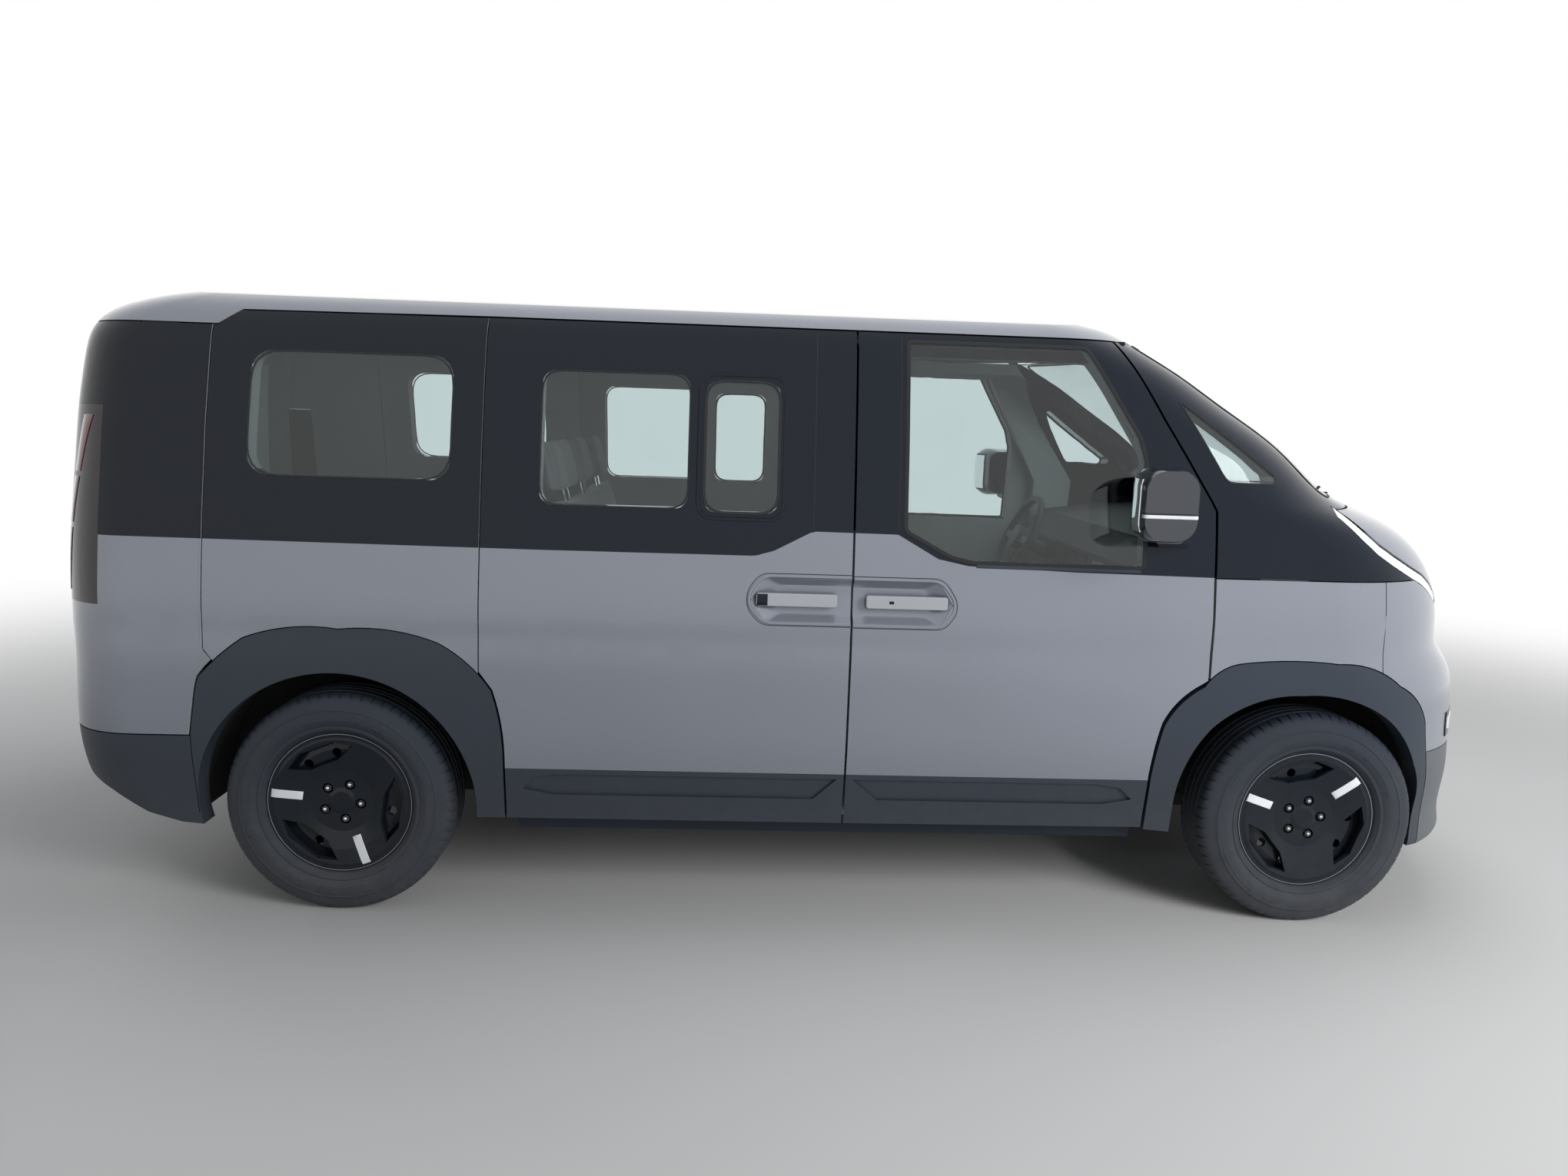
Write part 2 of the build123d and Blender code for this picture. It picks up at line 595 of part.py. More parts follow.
# Floor, wheel liners and what hangs below
FLOOR_TOP = 385.0
JACK_PAD_R = 35.0
with BuildPart() as floor_pan:
    add(block(-905, 1035, -785.8, 785.8, 345, FLOOR_TOP))
    add(block(-2180, -905, -600, 600, 425, 470))
    add(block(-905, -865, -600, 600, 345, 470))
    add(block(1035, 1075, -780, 780, 345, 900))
    for y in (-465, 465):
        add(block(1075, 2120, y - 35, y + 35, 400, 520))
    # The pads that a jack or a lift pushes on
    with Locations(*[(x, y, 341) for x in (-850, 900) for y in (-700, 700)]):
        Cylinder(JACK_PAD_R, 12)
floor_pan.part.label = "floor_pan"
with BuildPart() as wheel_liners:
    for x, r, y0 in ((FRONT_AXLE, 452, -540), (REAR_AXLE, 424, -630)):
        shell = drum(x, HUB_Z, r + 6, -880, y0) - drum(x, HUB_Z, r, -880, y0 - 8)
        shell = shell & block(x - 600, x + 600, -880, y0, 300, 900)
        shell = (shell & envelope(WALL + 1)) - block(900, 1120, -900, -500, 200, 900)
        add(shell - drum(REAR_AXLE, HUB_Z, 75, -900, -500))
    mirror(about=Plane.XZ)
wheel_liners.part.label = "wheel_liners"
with BuildPart() as battery_pack:
    with Locations((60, 0, 270)):
        Box(1850, 1240, 150)
    fillet(battery_pack.edges().filter_by(Axis.Z), 60)
battery_pack.part.label = "battery_pack"
with BuildPart() as drive_motor:
    with Locations(Location((FRONT_AXLE - 40, 0, 370), (90, 0, 0))):
        Cylinder(140, 420)
    with Locations((FRONT_AXLE + 10, 0, 640)):
        Box(320, 420, 180)
    with Locations((FRONT_AXLE - 20, 0, 520)):
        Box(160, 240, 120)
    with Locations((FRONT_AXLE - 40, 0, 245)):
        Box(200, 300, 30)
drive_motor.part.label = "drive_motor"

STEER_Y = TRACK / 2 - STEER_INSET
BORE_R = 38.0
STUB_R = BORE_R - 0.6
with BuildPart() as front_suspension:
    with Locations((FRONT_AXLE - 60, 0, 205)):
        Box(420, 640, 50)
    for y in (-1, 1):
        with Locations((FRONT_AXLE, y * (320 + STEER_Y) / 2, 205)):
            Box(80, STEER_Y - 320, 26)
        with Locations((FRONT_AXLE, y * STEER_Y, 205)):
            Cylinder(30, 26)
        with Locations((FRONT_AXLE, y * STEER_Y, 225)):
            Cylinder(14, 60)
        with Locations((FRONT_AXLE, y * 465, 309)):
            Box(60, 50, 182)
front_suspension.part.label = "front_suspension"
with BuildPart() as rear_axle:
    with Locations(Location((REAR_AXLE + 120, 0, 330), (90, 0, 0))):
        Cylinder(48, 1220)
    for y in (-1, 1):
        with Locations(((REAR_AXLE - 150 - 905) / 2, y * 590, 335)):
            Box(-905 - REAR_AXLE + 150, 50, 80)
        with Locations(Location((REAR_AXLE, y * 690, HUB_Z), (90, 0, 0))):
            Cylinder(60, 180)
        with Locations(Location((REAR_AXLE, y * 810, HUB_Z), (90, 0, 0))):
            Cylinder(STUB_R, 75)
rear_axle.part.label = "rear_axle"

# Knuckles: a body on the steering axis and a stub into the hub
with BuildPart() as knuckle_right:
    with Locations((FRONT_AXLE, -STEER_Y, HUB_Z)):
        Box(90, 60, 200)
    with Locations(Location((FRONT_AXLE, -815, HUB_Z), (90, 0, 0))):
        Cylinder(STUB_R, 65)
    with Locations((FRONT_AXLE, -STEER_Y, 240)):
        Cylinder(14.5, 40, mode=Mode.SUBTRACT)
    with Locations(Location((FRONT_AXLE - 80, -STEER_Y + 20, HUB_Z - 20))):
        Box(120, 24, 30)
knuckle_right.part.label = "knuckle_right"
with BuildPart() as knuckle_left:
    add(mirror(knuckle_right.part, about=Plane.XZ))
knuckle_left.part.label = "knuckle_left"

# Wheels: one tyre and one wheel, drawn on the axis and set in place
TYRE_PROFILE = [(RIM_R, 84), (230, 96), (262, 107.5), (300, 103), (328, 92), (338, 78), (340, 60)]
with BuildPart() as tyre:
    with BuildSketch(Plane.XY) as s:
        with BuildLine():
            right = [(r, w) for r, w in TYRE_PROFILE]
            left = [(r, -w) for r, w in reversed(TYRE_PROFILE)]
            bead = [(RIM_R, -78), (228, -70), (246, -58), (246, 58), (228, 70), (RIM_R, 78)]
            Polyline(*right, *left, *bead, close=True)
        make_face()
    revolve(axis=Axis.Y)
RIM_PROFILE = [(219, 84), (219, 78), (205, 62), (205, -62), (219, -78), (219, -84), (209, -84), (192, -64), (192, 84)]
COVER_PROFILE = [(0, 70), (30, 70), (42, 66), (95, 68), (150, 79), (196, 86), (212, 82)]
COVER_PROFILE += [(200, 76), (150, 69), (95, 58), (0, 58)]
DISC_PROFILE = [(BORE_R, 1), (135, 1), (135, 12), (75, 12), (75, 18), (118, 40), (160, 46), (196, 38)]
DISC_PROFILE += [(196, 48), (160, 56), (112, 50), (70, 26), (BORE_R, 26)]
LUG_PCD = 114.3
LUG_R = 10.5
SPOKES = 3
FIRST_SPOKE = 40.0


def spoke_opening(angle):
    """The outline of one opening between two spokes, in the wheel's plane."""
    points = []
    for reach, aside in ((186, 36), (193, 16), (193, -16), (186, -36)):
        points.append((reach * cos(radians(angle + aside)), -reach * sin(radians(angle + aside))))
    for along, across in ((118, -44), (118, 44)):
        x = along * cos(radians(angle)) - across * sin(radians(angle))
        z = along * sin(radians(angle)) + across * cos(radians(angle))
        points.append((x, -z))
    return points


with BuildPart() as wheel:
    for profile in (RIM_PROFILE, COVER_PROFILE, DISC_PROFILE):
        with BuildSketch(Plane.XY):
            with BuildLine():
                Polyline(*[(r, -w) for r, w in profile], close=True)
            make_face()
        revolve(axis=Axis.Y)
    with BuildSketch(Plane((0, -92, 0), x_dir=(1, 0, 0), z_dir=(0, 1, 0))):
        for number in range(SPOKES):
            with BuildLine():
                Polyline(*spoke_opening(FIRST_SPOKE + 60 + number * 120), close=True)
            make_face()
    extrude(amount=35.5, taper=18, mode=Mode.SUBTRACT)
    with Locations(Location((0, -75, 0), (90, 0, 0))):
        with PolarLocations(LUG_PCD / 2, 5, start_angle=4):
            Cylinder(16, 38, mode=Mode.SUBTRACT)
    with Locations(Location((0, -44, 0), (90, 0, 0))):
        with PolarLocations(LUG_PCD / 2, 5, start_angle=4):
            Cylinder(LUG_R, 44)
        with PolarLocations(150, 10):
            Cylinder(14, 30, mode=Mode.SUBTRACT)

PLACES = {
    "front_right": (FRONT_AXLE, -1),
    "front_left": (FRONT_AXLE, 1),
    "rear_right": (REAR_AXLE, -1),
    "rear_left": (REAR_AXLE, 1),
}
TURN = {"front_right": 0, "front_left": 25, "rear_right": -132, "rear_left": 50}
placed = {}
for name, (x, side) in PLACES.items():
    for kind, source in (("tyre", tyre.part), ("wheel", wheel.part)):
        turned = source.rotate(Axis.Y, TURN[name])
        put = turned if side < 0 else mirror(turned, about=Plane.XZ)
        with BuildPart() as piece:
            add(put.moved(Location((x, side * TRACK / 2, HUB_Z))))
        piece.part.label = f"{kind}_{name}"
        placed[f"{kind}_{name}"] = piece

# Cabin
dashboard_points = [(1035, 900), (1050, 1090), (1120, 1180), (1400, 1215), (1560, 1225), (1560, 1170), (1200, 900)]
with BuildPart() as dashboard:
    add(side_prism(dashboard_points, -760, 760))
    add(within, mode=Mode.INTERSECT)
dashboard.part.label = "dashboard"


def seat(x, y, width, heads):
    """A seat or bench with its back, and head rests at the given places."""
    lean = (0, -14, 0)
    with BuildPart() as one:
        with Locations((x, y, FLOOR_TOP + 120)):
            Box(360, width - 120, 240)
        with Locations((x, y, FLOOR_TOP + 290)):
            Box(500, width, 140)
        with Locations(Location((x - 270, y, FLOOR_TOP + 560), lean)):
            Box(110, width, 620)
        for head in heads:
            with Locations(Location((x - 340, y + head, FLOOR_TOP + 890), lean)):
                Box(20, 120, 140)
            with Locations(Location((x - 362, y + head, FLOOR_TOP + 975), lean)):
                Box(80, 260, 160)
    return one.part


with BuildPart() as front_seats:
    add(seat(500, -370, 500, [0]))
    add(seat(500, 370, 500, [0]))
front_seats.part.label = "front_seats"
with BuildPart() as rear_bench:
    add(seat(-480, 0, 1300, [-430, 0, 430]))
rear_bench.part.label = "rear_bench"
with BuildPart() as steering_wheel:
    with Locations(Location((925, 370, 1085), (0, -65, 0))):
        Torus(175, 15)
        Cylinder(50, 40)
        Box(30, 340, 16)
    with Locations(Location((1000, 370, 1050), (0, -65, 0))):
        Cylinder(28, 150)
    add(dashboard.part, mode=Mode.SUBTRACT)
steering_wheel.part.label = "steering_wheel"

sub_parts = [
    front_door_right, front_door_left, door_cladding_right, door_cladding_left,
    door_glass_right, door_glass_left, door_handle_right, door_handle_left,
    mirror_right, mirror_left, sliding_doors, sliding_door_handles, side_windows,
    body_sides, roof, windscreen_frame, windscreen, hood, headlamps, front_wings,
    nose_panel, front_bumper, body_cladding, rear_bumper, tailgate, tailgate_glass,
    rear_corners, tail_lamps, floor_pan, wheel_liners, battery_pack, drive_motor,
    front_suspension, rear_axle, knuckle_right, knuckle_left, dashboard,
    front_seats, rear_bench, steering_wheel,
]
sub_parts += list(placed.values())
for piece in sub_parts:
    export_step(piece.part, f"parts/{piece.part.label}.step")
    print(piece.part.label, len(piece.part.solids()))
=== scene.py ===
# %% [markdown]
# # Electric minivan
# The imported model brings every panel, door and wheel at its real size. This
# notebook gives them their finishes and adds what is too fine for the solids:
# tread, lug nuts, seals, wipers, seat covers and lamp details. All lengths are
# in metres, +X runs forward, +Y to the left and +Z up.

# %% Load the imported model
import math

import bmesh
import bpy
from mathutils import Matrix, Vector
from mathutils.bvhtree import BVHTree


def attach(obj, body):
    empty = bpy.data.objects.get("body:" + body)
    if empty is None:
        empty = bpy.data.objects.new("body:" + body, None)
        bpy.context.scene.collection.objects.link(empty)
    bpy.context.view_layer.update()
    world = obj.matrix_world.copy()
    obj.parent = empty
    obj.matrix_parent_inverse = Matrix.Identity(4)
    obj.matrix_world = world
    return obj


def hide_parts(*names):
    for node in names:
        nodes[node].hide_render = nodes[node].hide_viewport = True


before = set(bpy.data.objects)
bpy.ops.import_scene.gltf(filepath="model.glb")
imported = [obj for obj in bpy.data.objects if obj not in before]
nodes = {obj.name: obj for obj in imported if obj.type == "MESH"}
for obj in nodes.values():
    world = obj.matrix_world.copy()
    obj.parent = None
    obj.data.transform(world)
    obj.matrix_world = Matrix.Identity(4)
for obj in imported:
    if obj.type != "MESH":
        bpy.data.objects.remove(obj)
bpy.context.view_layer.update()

# %% [markdown]
# ## Shared surface effects
# A real finish is never quite even. Each effect that several materials use is
# one node group with named inputs: metal flake in the paint, moulded grain on
# plastic, road dust low on the body, and two masks that tell where the dark
# band starts and which faces look into the cabin. The shaders themselves stay
# in each material, so that the finish can still be read there.

# %% A node group and its sockets


def effect_group(name, inputs, outputs):
    """An empty shader group with float or colour sockets; returns its nodes."""
    tree = bpy.data.node_groups.new(name, "ShaderNodeTree")
    for label, default in inputs:
        kind = "NodeSocketColor" if isinstance(default, tuple) else "NodeSocketFloat"
        socket = tree.interface.new_socket(label, in_out="INPUT", socket_type=kind)
        socket.default_value = default
    for label, kind in outputs:
        tree.interface.new_socket(label, in_out="OUTPUT", socket_type=kind)
    source = tree.nodes.new("NodeGroupInput")
    sink = tree.nodes.new("NodeGroupOutput")
    return tree, source, sink


def feed(tree, node, **sources):
    """Links outputs to a node's sockets by name, with _ for a space."""
    for socket, source in sources.items():
        tree.links.new(source, node.inputs[socket.replace("_", " ")])


SIGNS = {"+": "ADD", "-": "SUBTRACT", "*": "MULTIPLY", "/": "DIVIDE", "max": "MAXIMUM"}


def maths(tree):
    """A maker of math nodes in one tree, fed by sockets or numbers."""
    def calc(first, sign, second, clamp=False):
        node = tree.nodes.new("ShaderNodeMath")
        node.operation = SIGNS[sign]
        node.use_clamp = clamp
        for socket, value in zip(node.inputs, (first, second)):
            if isinstance(value, (int, float)):
                socket.default_value = value
            else:
                tree.links.new(value, socket)
        return node.outputs[0]
    return calc


def mapped(tree, kind, output="Object"):
    """A node of a kind, fed by the object's own coordinates or normal."""
    place = tree.nodes.new("ShaderNodeTexCoord")
    node = tree.nodes.new(kind)
    tree.links.new(place.outputs[output], node.inputs[0])
    return node


def noise_node(tree, scale, detail=2.0, rough=0.5):
    """A noise texture over the object's own space; returns its output."""
    noise = mapped(tree, "ShaderNodeTexNoise")
    noise.inputs["Scale"].default_value = scale
    noise.inputs["Detail"].default_value = detail
    noise.inputs["Roughness"].default_value = rough
    return noise.outputs[0]


def mixed(tree, factor, first, second, blend="MIX"):
    """A colour mix fed by sockets or plain values; returns its output."""
    node = tree.nodes.new("ShaderNodeMix")
    node.data_type = "RGBA"
    node.blend_type = blend
    for index, value in ((0, factor), (6, first), (7, second)):
        if isinstance(value, tuple):
            node.inputs[index].default_value = (*value, 1)
        elif isinstance(value, float):
            node.inputs[index].default_value = value
        else:
            tree.links.new(value, node.inputs[index])
    return node.outputs[2]


def varied(tree, colour, value, spread):
    """A colour made lighter and darker by a value, and the gain that does it."""
    calc = maths(tree)
    gain = calc(calc(calc(value, "-", 0.5), "*", spread), "+", 1.0)
    return mixed(tree, 1.0, colour, gain, "MULTIPLY"), gain


def shader_mix(tree, factor, first, second):
    """A mix of two shaders; returns its output."""
    node = tree.nodes.new("ShaderNodeMixShader")
    for socket, value in zip(node.inputs, (factor, first, second)):
        tree.links.new(value, socket)
    return node.outputs[0]


def seen_rays(tree):
    """1 for the rays that meet the camera directly, by reflection or through glass."""
    rays = tree.nodes.new("ShaderNodeLightPath").outputs
    calc = maths(tree)
    indirect = calc(rays["Is Glossy Ray"], "max", rays["Is Transmission Ray"])
    return calc(rays["Is Camera Ray"], "max", indirect)


# %% Metal flake under a clear coat
FLAKES_PER_METRE = 1400.0
flake, fin, fout = effect_group(
    "Metal flake", [("Colour", (0.3, 0.3, 0.3, 1)), ("Spread", 0.12)],
    [("Colour", "NodeSocketColor"), ("Height", "NodeSocketFloat")],
)
cells = mapped(flake, "ShaderNodeTexVoronoi")
cells.inputs["Scale"].default_value = FLAKES_PER_METRE
spark = flake.nodes.new("ShaderNodeSeparateColor")
flake.links.new(cells.outputs["Color"], spark.inputs[0])
calc = maths(flake)
cloud = noise_node(flake, 3.0)
shade = calc(calc(spark.outputs[0], "*", 0.7), "+", calc(cloud, "*", 0.3))
tint, _ = varied(flake, fin.outputs["Colour"], shade, fin.outputs["Spread"])
feed(flake, fout, Colour=tint, Height=spark.outputs[1])

# %% Moulded grain on plastic
grain, gin, gout = effect_group(
    "Moulded grain", [("Colour", (0.1, 0.1, 0.1, 1)), ("Roughness", 0.5), ("Variation", 0.15)],
    [("Colour", "NodeSocketColor"), ("Roughness", "NodeSocketFloat"), ("Height", "NodeSocketFloat")],
)
pebble = noise_node(grain, 900.0, 3.0, 0.6)
blotch = noise_node(grain, 7.0, 4.0, 0.55)
tint, gain = varied(grain, gin.outputs["Colour"], blotch, gin.outputs["Variation"])
rub = maths(grain)(gain, "*", gin.outputs["Roughness"], clamp=True)
feed(grain, gout, Colour=tint, Roughness=rub, Height=pebble)

# %% Road dust, thickest near the ground
DUST = (0.20, 0.19, 0.175)
dust, din, dout = effect_group(
    "Road dust", [("Colour", (0.1, 0.1, 0.1, 1)), ("Roughness", 0.4), ("Amount", 0.3), ("Reach", 0.6)],
    [("Colour", "NodeSocketColor"), ("Roughness", "NodeSocketFloat")],
)
height = mapped(dust, "ShaderNodeSeparateXYZ").outputs[2]
calc = maths(dust)
low = calc(1.0, "-", calc(height, "/", din.outputs["Reach"]), clamp=True)
mottle = noise_node(dust, 22.0, 5.0, 0.65)
film = calc(calc(low, "*", mottle), "*", din.outputs["Amount"], clamp=True)
tint = mixed(dust, film, din.outputs["Colour"], DUST)
dull = calc(din.outputs["Roughness"], "+", calc(film, "*", 0.8), clamp=True)
feed(dust, dout, Colour=tint, Roughness=dull)

# %% Where the dark band starts, and what faces the cabin
BELT = [(-2.40, 1.139), (-0.825, 1.130), (-0.189, 1.130), (-0.133, 1.146), (-0.018, 1.206),
        (0.236, 1.204), (0.359, 1.135), (0.449, 1.117), (0.775, 1.107), (1.206, 1.102), (2.10, 1.082)]
REAR_X = BELT[0][0]
BELT_LENGTH = BELT[-1][0] - REAR_X
BELT_LOW = 1.05
BELT_RANGE = 0.2
SILL_Z = 0.304
EDGE_BLUR = 0.001
MIDDLE_Z = 1.1
zones, zin, zout = effect_group(
    "Body zones", [],
    [("Dark band", "NodeSocketFloat"), ("Inside", "NodeSocketFloat"), ("Sill", "NodeSocketFloat")],
)
at_x, at_y, at_z = mapped(zones, "ShaderNodeSeparateXYZ").outputs
face_x, face_y, face_z = mapped(zones, "ShaderNodeSeparateXYZ", "Normal").outputs
calc = maths(zones)
along = calc(calc(at_x, "-", REAR_X), "/", BELT_LENGTH, clamp=True)
belt_curve = zones.nodes.new("ShaderNodeFloatCurve")
curve = belt_curve.mapping.curves[0]
spots = [((x - REAR_X) / BELT_LENGTH, (z - BELT_LOW) / BELT_RANGE) for x, z in BELT]
for spot in spots[1:-1]:
    curve.points.new(*spot)
curve.points[0].location = spots[0]
curve.points[len(curve.points) - 1].location = spots[-1]
for point in curve.points:
    point.handle_type = "VECTOR"
belt_curve.mapping.update()
feed(zones, belt_curve, Value=along)
belt_z = calc(calc(belt_curve.outputs[0], "*", BELT_RANGE), "+", BELT_LOW)
above = calc(calc(at_z, "-", belt_z), "/", EDGE_BLUR, clamp=True)
under = calc(calc(SILL_Z, "-", at_z), "/", EDGE_BLUR, clamp=True)
side = calc(face_y, "*", at_y)
rise = calc(face_z, "*", calc(at_z, "-", MIDDLE_Z))
length = calc(face_x, "*", calc(at_x, "*", 0.4))
outward = calc(calc(side, "+", rise), "+", length)
inside = calc(calc(outward, "+", 0.25), "*", -20.0, clamp=True)
feed(zones, zout, Dark_band=above, Sill=under, Inside=inside)
print([g.name for g in bpy.data.node_groups])

# %% [markdown]
# ## Finishes
# Each material holds one Principled shader. Steady numbers are written on its
# own sockets, and only what changes over the surface comes from a group.

# %% A material, its shader and a placed group


def finish(name, colour, rough, metal=0.0, coat=0.0, **steady):
    """A material with one Principled shader; colours are linear."""
    material = bpy.data.materials.new(name)
    material.use_nodes = True
    shader = material.node_tree.nodes["Principled BSDF"]
    shader.inputs["Base Color"].default_value = (*colour, 1)
    shader.inputs["Roughness"].default_value = rough
    shader.inputs["Metallic"].default_value = metal
    shader.inputs["Coat Weight"].default_value = coat
    shader.inputs["Coat Roughness"].default_value = 0.03
    for socket, value in steady.items():
        shader.inputs[socket.replace("_", " ")].default_value = value
    return material, material.node_tree, shader


def placed(tree, group):
    """The group as a node of this material."""
    node = tree.nodes.new("ShaderNodeGroup")
    node.node_tree = group
    return node


def bump(tree, shader, height, strength, distance):
    """Feeds a height into the shader's normal."""
    node = tree.nodes.new("ShaderNodeBump")
    node.inputs["Strength"].default_value = strength
    node.inputs["Distance"].default_value = distance
    feed(tree, node, Height=height)
    feed(tree, shader, Normal=node.outputs[0])


def moulded(name, colour, rough, variation=0.2, relief=0.25, dusty=0.0, **steady):
    """Grained plastic, with road dust low down where it is asked for."""
    material, tree, shader = finish(name, colour, rough, **steady)
    skin = placed(tree, grain)
    skin.inputs["Colour"].default_value = (*colour, 1)
    skin.inputs["Roughness"].default_value = rough
    skin.inputs["Variation"].default_value = variation
    source = skin
    if dusty:
        source = placed(tree, dust)
        source.inputs["Amount"].default_value = dusty
        feed(tree, source, Colour=skin.outputs["Colour"], Roughness=skin.outputs["Roughness"])
    feed(tree, shader, Base_Color=source.outputs["Colour"], Roughness=source.outputs["Roughness"])
    bump(tree, shader, skin.outputs["Height"], relief, 0.0004)
    return material


# %% [markdown]
# ### Paint
# The body is metallic grey below the belt line and gloss black above it. The
# faces that look into the cabin are light trim. One material does all three,
# so that a door can cross the belt without being cut in two: the two masks
# choose between the colours and their roughness.

# %% Body paint with its dark band and light trim
GREY = (0.205, 0.222, 0.262)
BLACK = (0.0030, 0.0065, 0.0135)
TRIM = (0.30, 0.31, 0.32)
CLADDING = (0.019, 0.026, 0.038)
GLOSS = 0.28
METAL = 0.42
BAND_SHINE = 0.28
TRIM_ROUGH = 0.85


def painted(name, banded):
    """Grey metallic paint with light trim inside, and the dark band where asked for."""
    material, tree, shader = finish(name, GREY, 0.38, METAL, coat=1.0, Specular_IOR_Level=GLOSS)
    metal = placed(tree, flake)
    metal.inputs["Colour"].default_value = (*GREY, 1)
    metal.inputs["Spread"].default_value = 0.22
    zone = placed(tree, zones).outputs
    calc = maths(tree)
    film = placed(tree, dust)
    film.inputs["Amount"].default_value = 0.12
    film.inputs["Reach"].default_value = 0.8
    film.inputs["Roughness"].default_value = 0.36
    feed(tree, film, Colour=metal.outputs["Colour"])
    colour = film.outputs["Colour"]
    rough = film.outputs["Roughness"]
    metallic = METAL
    outside = calc(1.0, "-", zone["Inside"])
    coat = outside
    if banded:
        colour = mixed(tree, zone["Dark band"], colour, BLACK)
        colour = mixed(tree, zone["Sill"], colour, CLADDING)
        kept = calc(1.0, "-", calc(zone["Dark band"], "max", zone["Sill"]))
        metallic = calc(kept, "*", METAL)
        rough = calc(rough, "-", calc(zone["Dark band"], "*", BAND_SHINE), clamp=True)
        coat = calc(coat, "*", kept)
    colour = mixed(tree, zone["Inside"], colour, TRIM)
    metallic = calc(metallic, "*", outside)
    rough = calc(rough, "max", calc(zone["Inside"], "*", TRIM_ROUGH))
    feed(tree, shader, Base_Color=colour, Roughness=rough, Metallic=metallic, Coat_Weight=coat)
    bump(tree, shader, metal.outputs["Height"], 0.04, 0.0002)
    return material


banded_paint = painted("banded paint", True)
plain_paint = painted("plain paint", False)

# %% Gloss black, glass and lamps
TINT = (0.72, 0.80, 0.80)
gloss_black = moulded("gloss black", BLACK, 0.07, 0.3, 0.01, 0.1, Specular_IOR_Level=GLOSS)
mirror_shell = moulded("mirror shell", (0.012, 0.016, 0.024), 0.12, 0.2, 0.01, 0.1, Coat_Weight=1.0)
glass, tree, shader = finish("tinted glass", TINT, 0.0, Transmission_Weight=1.0, IOR=1.45)
streak = placed(tree, grain)
streak.inputs["Colour"].default_value = (*TINT, 1)
streak.inputs["Variation"].default_value = 0.05
feed(tree, shader, Base_Color=streak.outputs["Colour"])
lamp_dark = moulded("smoked lens", (0.012, 0.004, 0.006), 0.06, 0.2, 0.02)
lamp_white = moulded("white lens", (0.80, 0.83, 0.86), 0.12, 0.05, 0.02, Coat_Weight=1.0)

# %% Plastics, metal castings and rubber
dark_plastic = moulded("cladding", CLADDING, 0.46, 0.25, 0.5, 0.2)
grey_plastic = moulded("lower bumper", (0.075, 0.082, 0.093), 0.45, 0.2, 0.4, 0.2)
liner = moulded("wheel arch liner", (0.008, 0.009, 0.010), 0.85, 0.4, 0.8, 0.25)
underside = moulded("floor coating", (0.03, 0.03, 0.032), 0.7, 0.4, 0.8, 0.5)
casting = moulded("cast aluminium", (0.30, 0.31, 0.32), 0.45, 0.3, 0.8, 0.3, metal=0.8)
black_steel = moulded("coated steel", (0.02, 0.02, 0.021), 0.5, 0.4, 0.5, 0.4)
satin_silver = moulded("satin silver", (0.40, 0.42, 0.45), 0.30, 0.1, 0.05, metal=0.7)
dash_plastic = moulded("soft dash", (0.022, 0.022, 0.024), 0.6, 0.2, 0.8)
cover_black = (0.003, 0.006, 0.011)
wheel_black = moulded("wheel cover", cover_black, 0.15, 0.4, 0.05, 0.1, Specular_IOR_Level=GLOSS)
rubber = moulded("tyre rubber", (0.015, 0.020, 0.029), 0.6, 0.4, 0.8, 0.25)
fabric = moulded("seat fabric", (0.22, 0.225, 0.235), 0.9, 0.25, 1.0, Sheen_Weight=0.3)
seal_rubber = moulded("rubber seal", (0.006, 0.007, 0.009), 0.55, 0.3, 0.4)
chrome = moulded("bright metal", (0.72, 0.74, 0.76), 0.12, 0.05, 0.02, metal=1.0)
white_bar = moulded("silver bar", (0.62, 0.64, 0.67), 0.35, 0.06, 0.05)
mirror_glass = moulded("mirror glass", (0.78, 0.80, 0.82), 0.02, 0.02, 0.0, metal=1.0)
red_lens = moulded("red lens", (0.12, 0.004, 0.004), 0.1, 0.15, 0.02, Coat_Weight=1.0)
screen_black = moulded("display", (0.006, 0.008, 0.012), 0.1, 0.1, 0.01)

# %% Give every solid its finish
FINISHES = [
    (banded_paint, "sliding_doors body_sides rear_corners front_door_right front_door_left tailgate"),
    (plain_paint, "roof front_wings nose_panel hood"),
    (gloss_black, "windscreen_frame"),
    (mirror_shell, "mirror_right mirror_left"),
    (glass, "side_windows windscreen door_glass_right door_glass_left tailgate_glass"),
    (lamp_dark, "tail_lamps"),
    (lamp_white, "headlamps"),
    (dark_plastic, "body_cladding rear_bumper door_cladding_right door_cladding_left"),
    (grey_plastic, "front_bumper"),
    (liner, "wheel_liners"),
    (underside, "floor_pan"),
    (casting, "battery_pack drive_motor"),
    (black_steel, "front_suspension rear_axle knuckle_right knuckle_left"),
    (satin_silver, "sliding_door_handles door_handle_right door_handle_left"),
    (dash_plastic, "dashboard steering_wheel"),
    (fabric, "front_seats rear_bench"),
    (wheel_black, "wheel_front_right wheel_front_left wheel_rear_right wheel_rear_left"),
    (rubber, "tyre_front_right tyre_front_left tyre_rear_right tyre_rear_left"),
]
dressed = set()
for material, names in FINISHES:
    for name in names.split():
        mesh = nodes[name].data
        mesh.materials.clear()
        mesh.materials.append(material)
        dressed.add(name)
print("still plain:", sorted(set(nodes) - dressed))

# %% [markdown]
# ## Building blocks for the fine parts
# Trim, seals and covers follow the body's curved skin. So the skin itself is
# asked where it lies: a ray is sent at the solids from outside, and the piece is
# built on the points it meets. Three helpers do nearly all of the work: a sheet
# of points made into a closed slab, a band drawn along a path, and a profile
# turned round the wheel's axis.

# %% The two sides of the vehicle
SIDES = ((-1, "right"), (1, "left"))

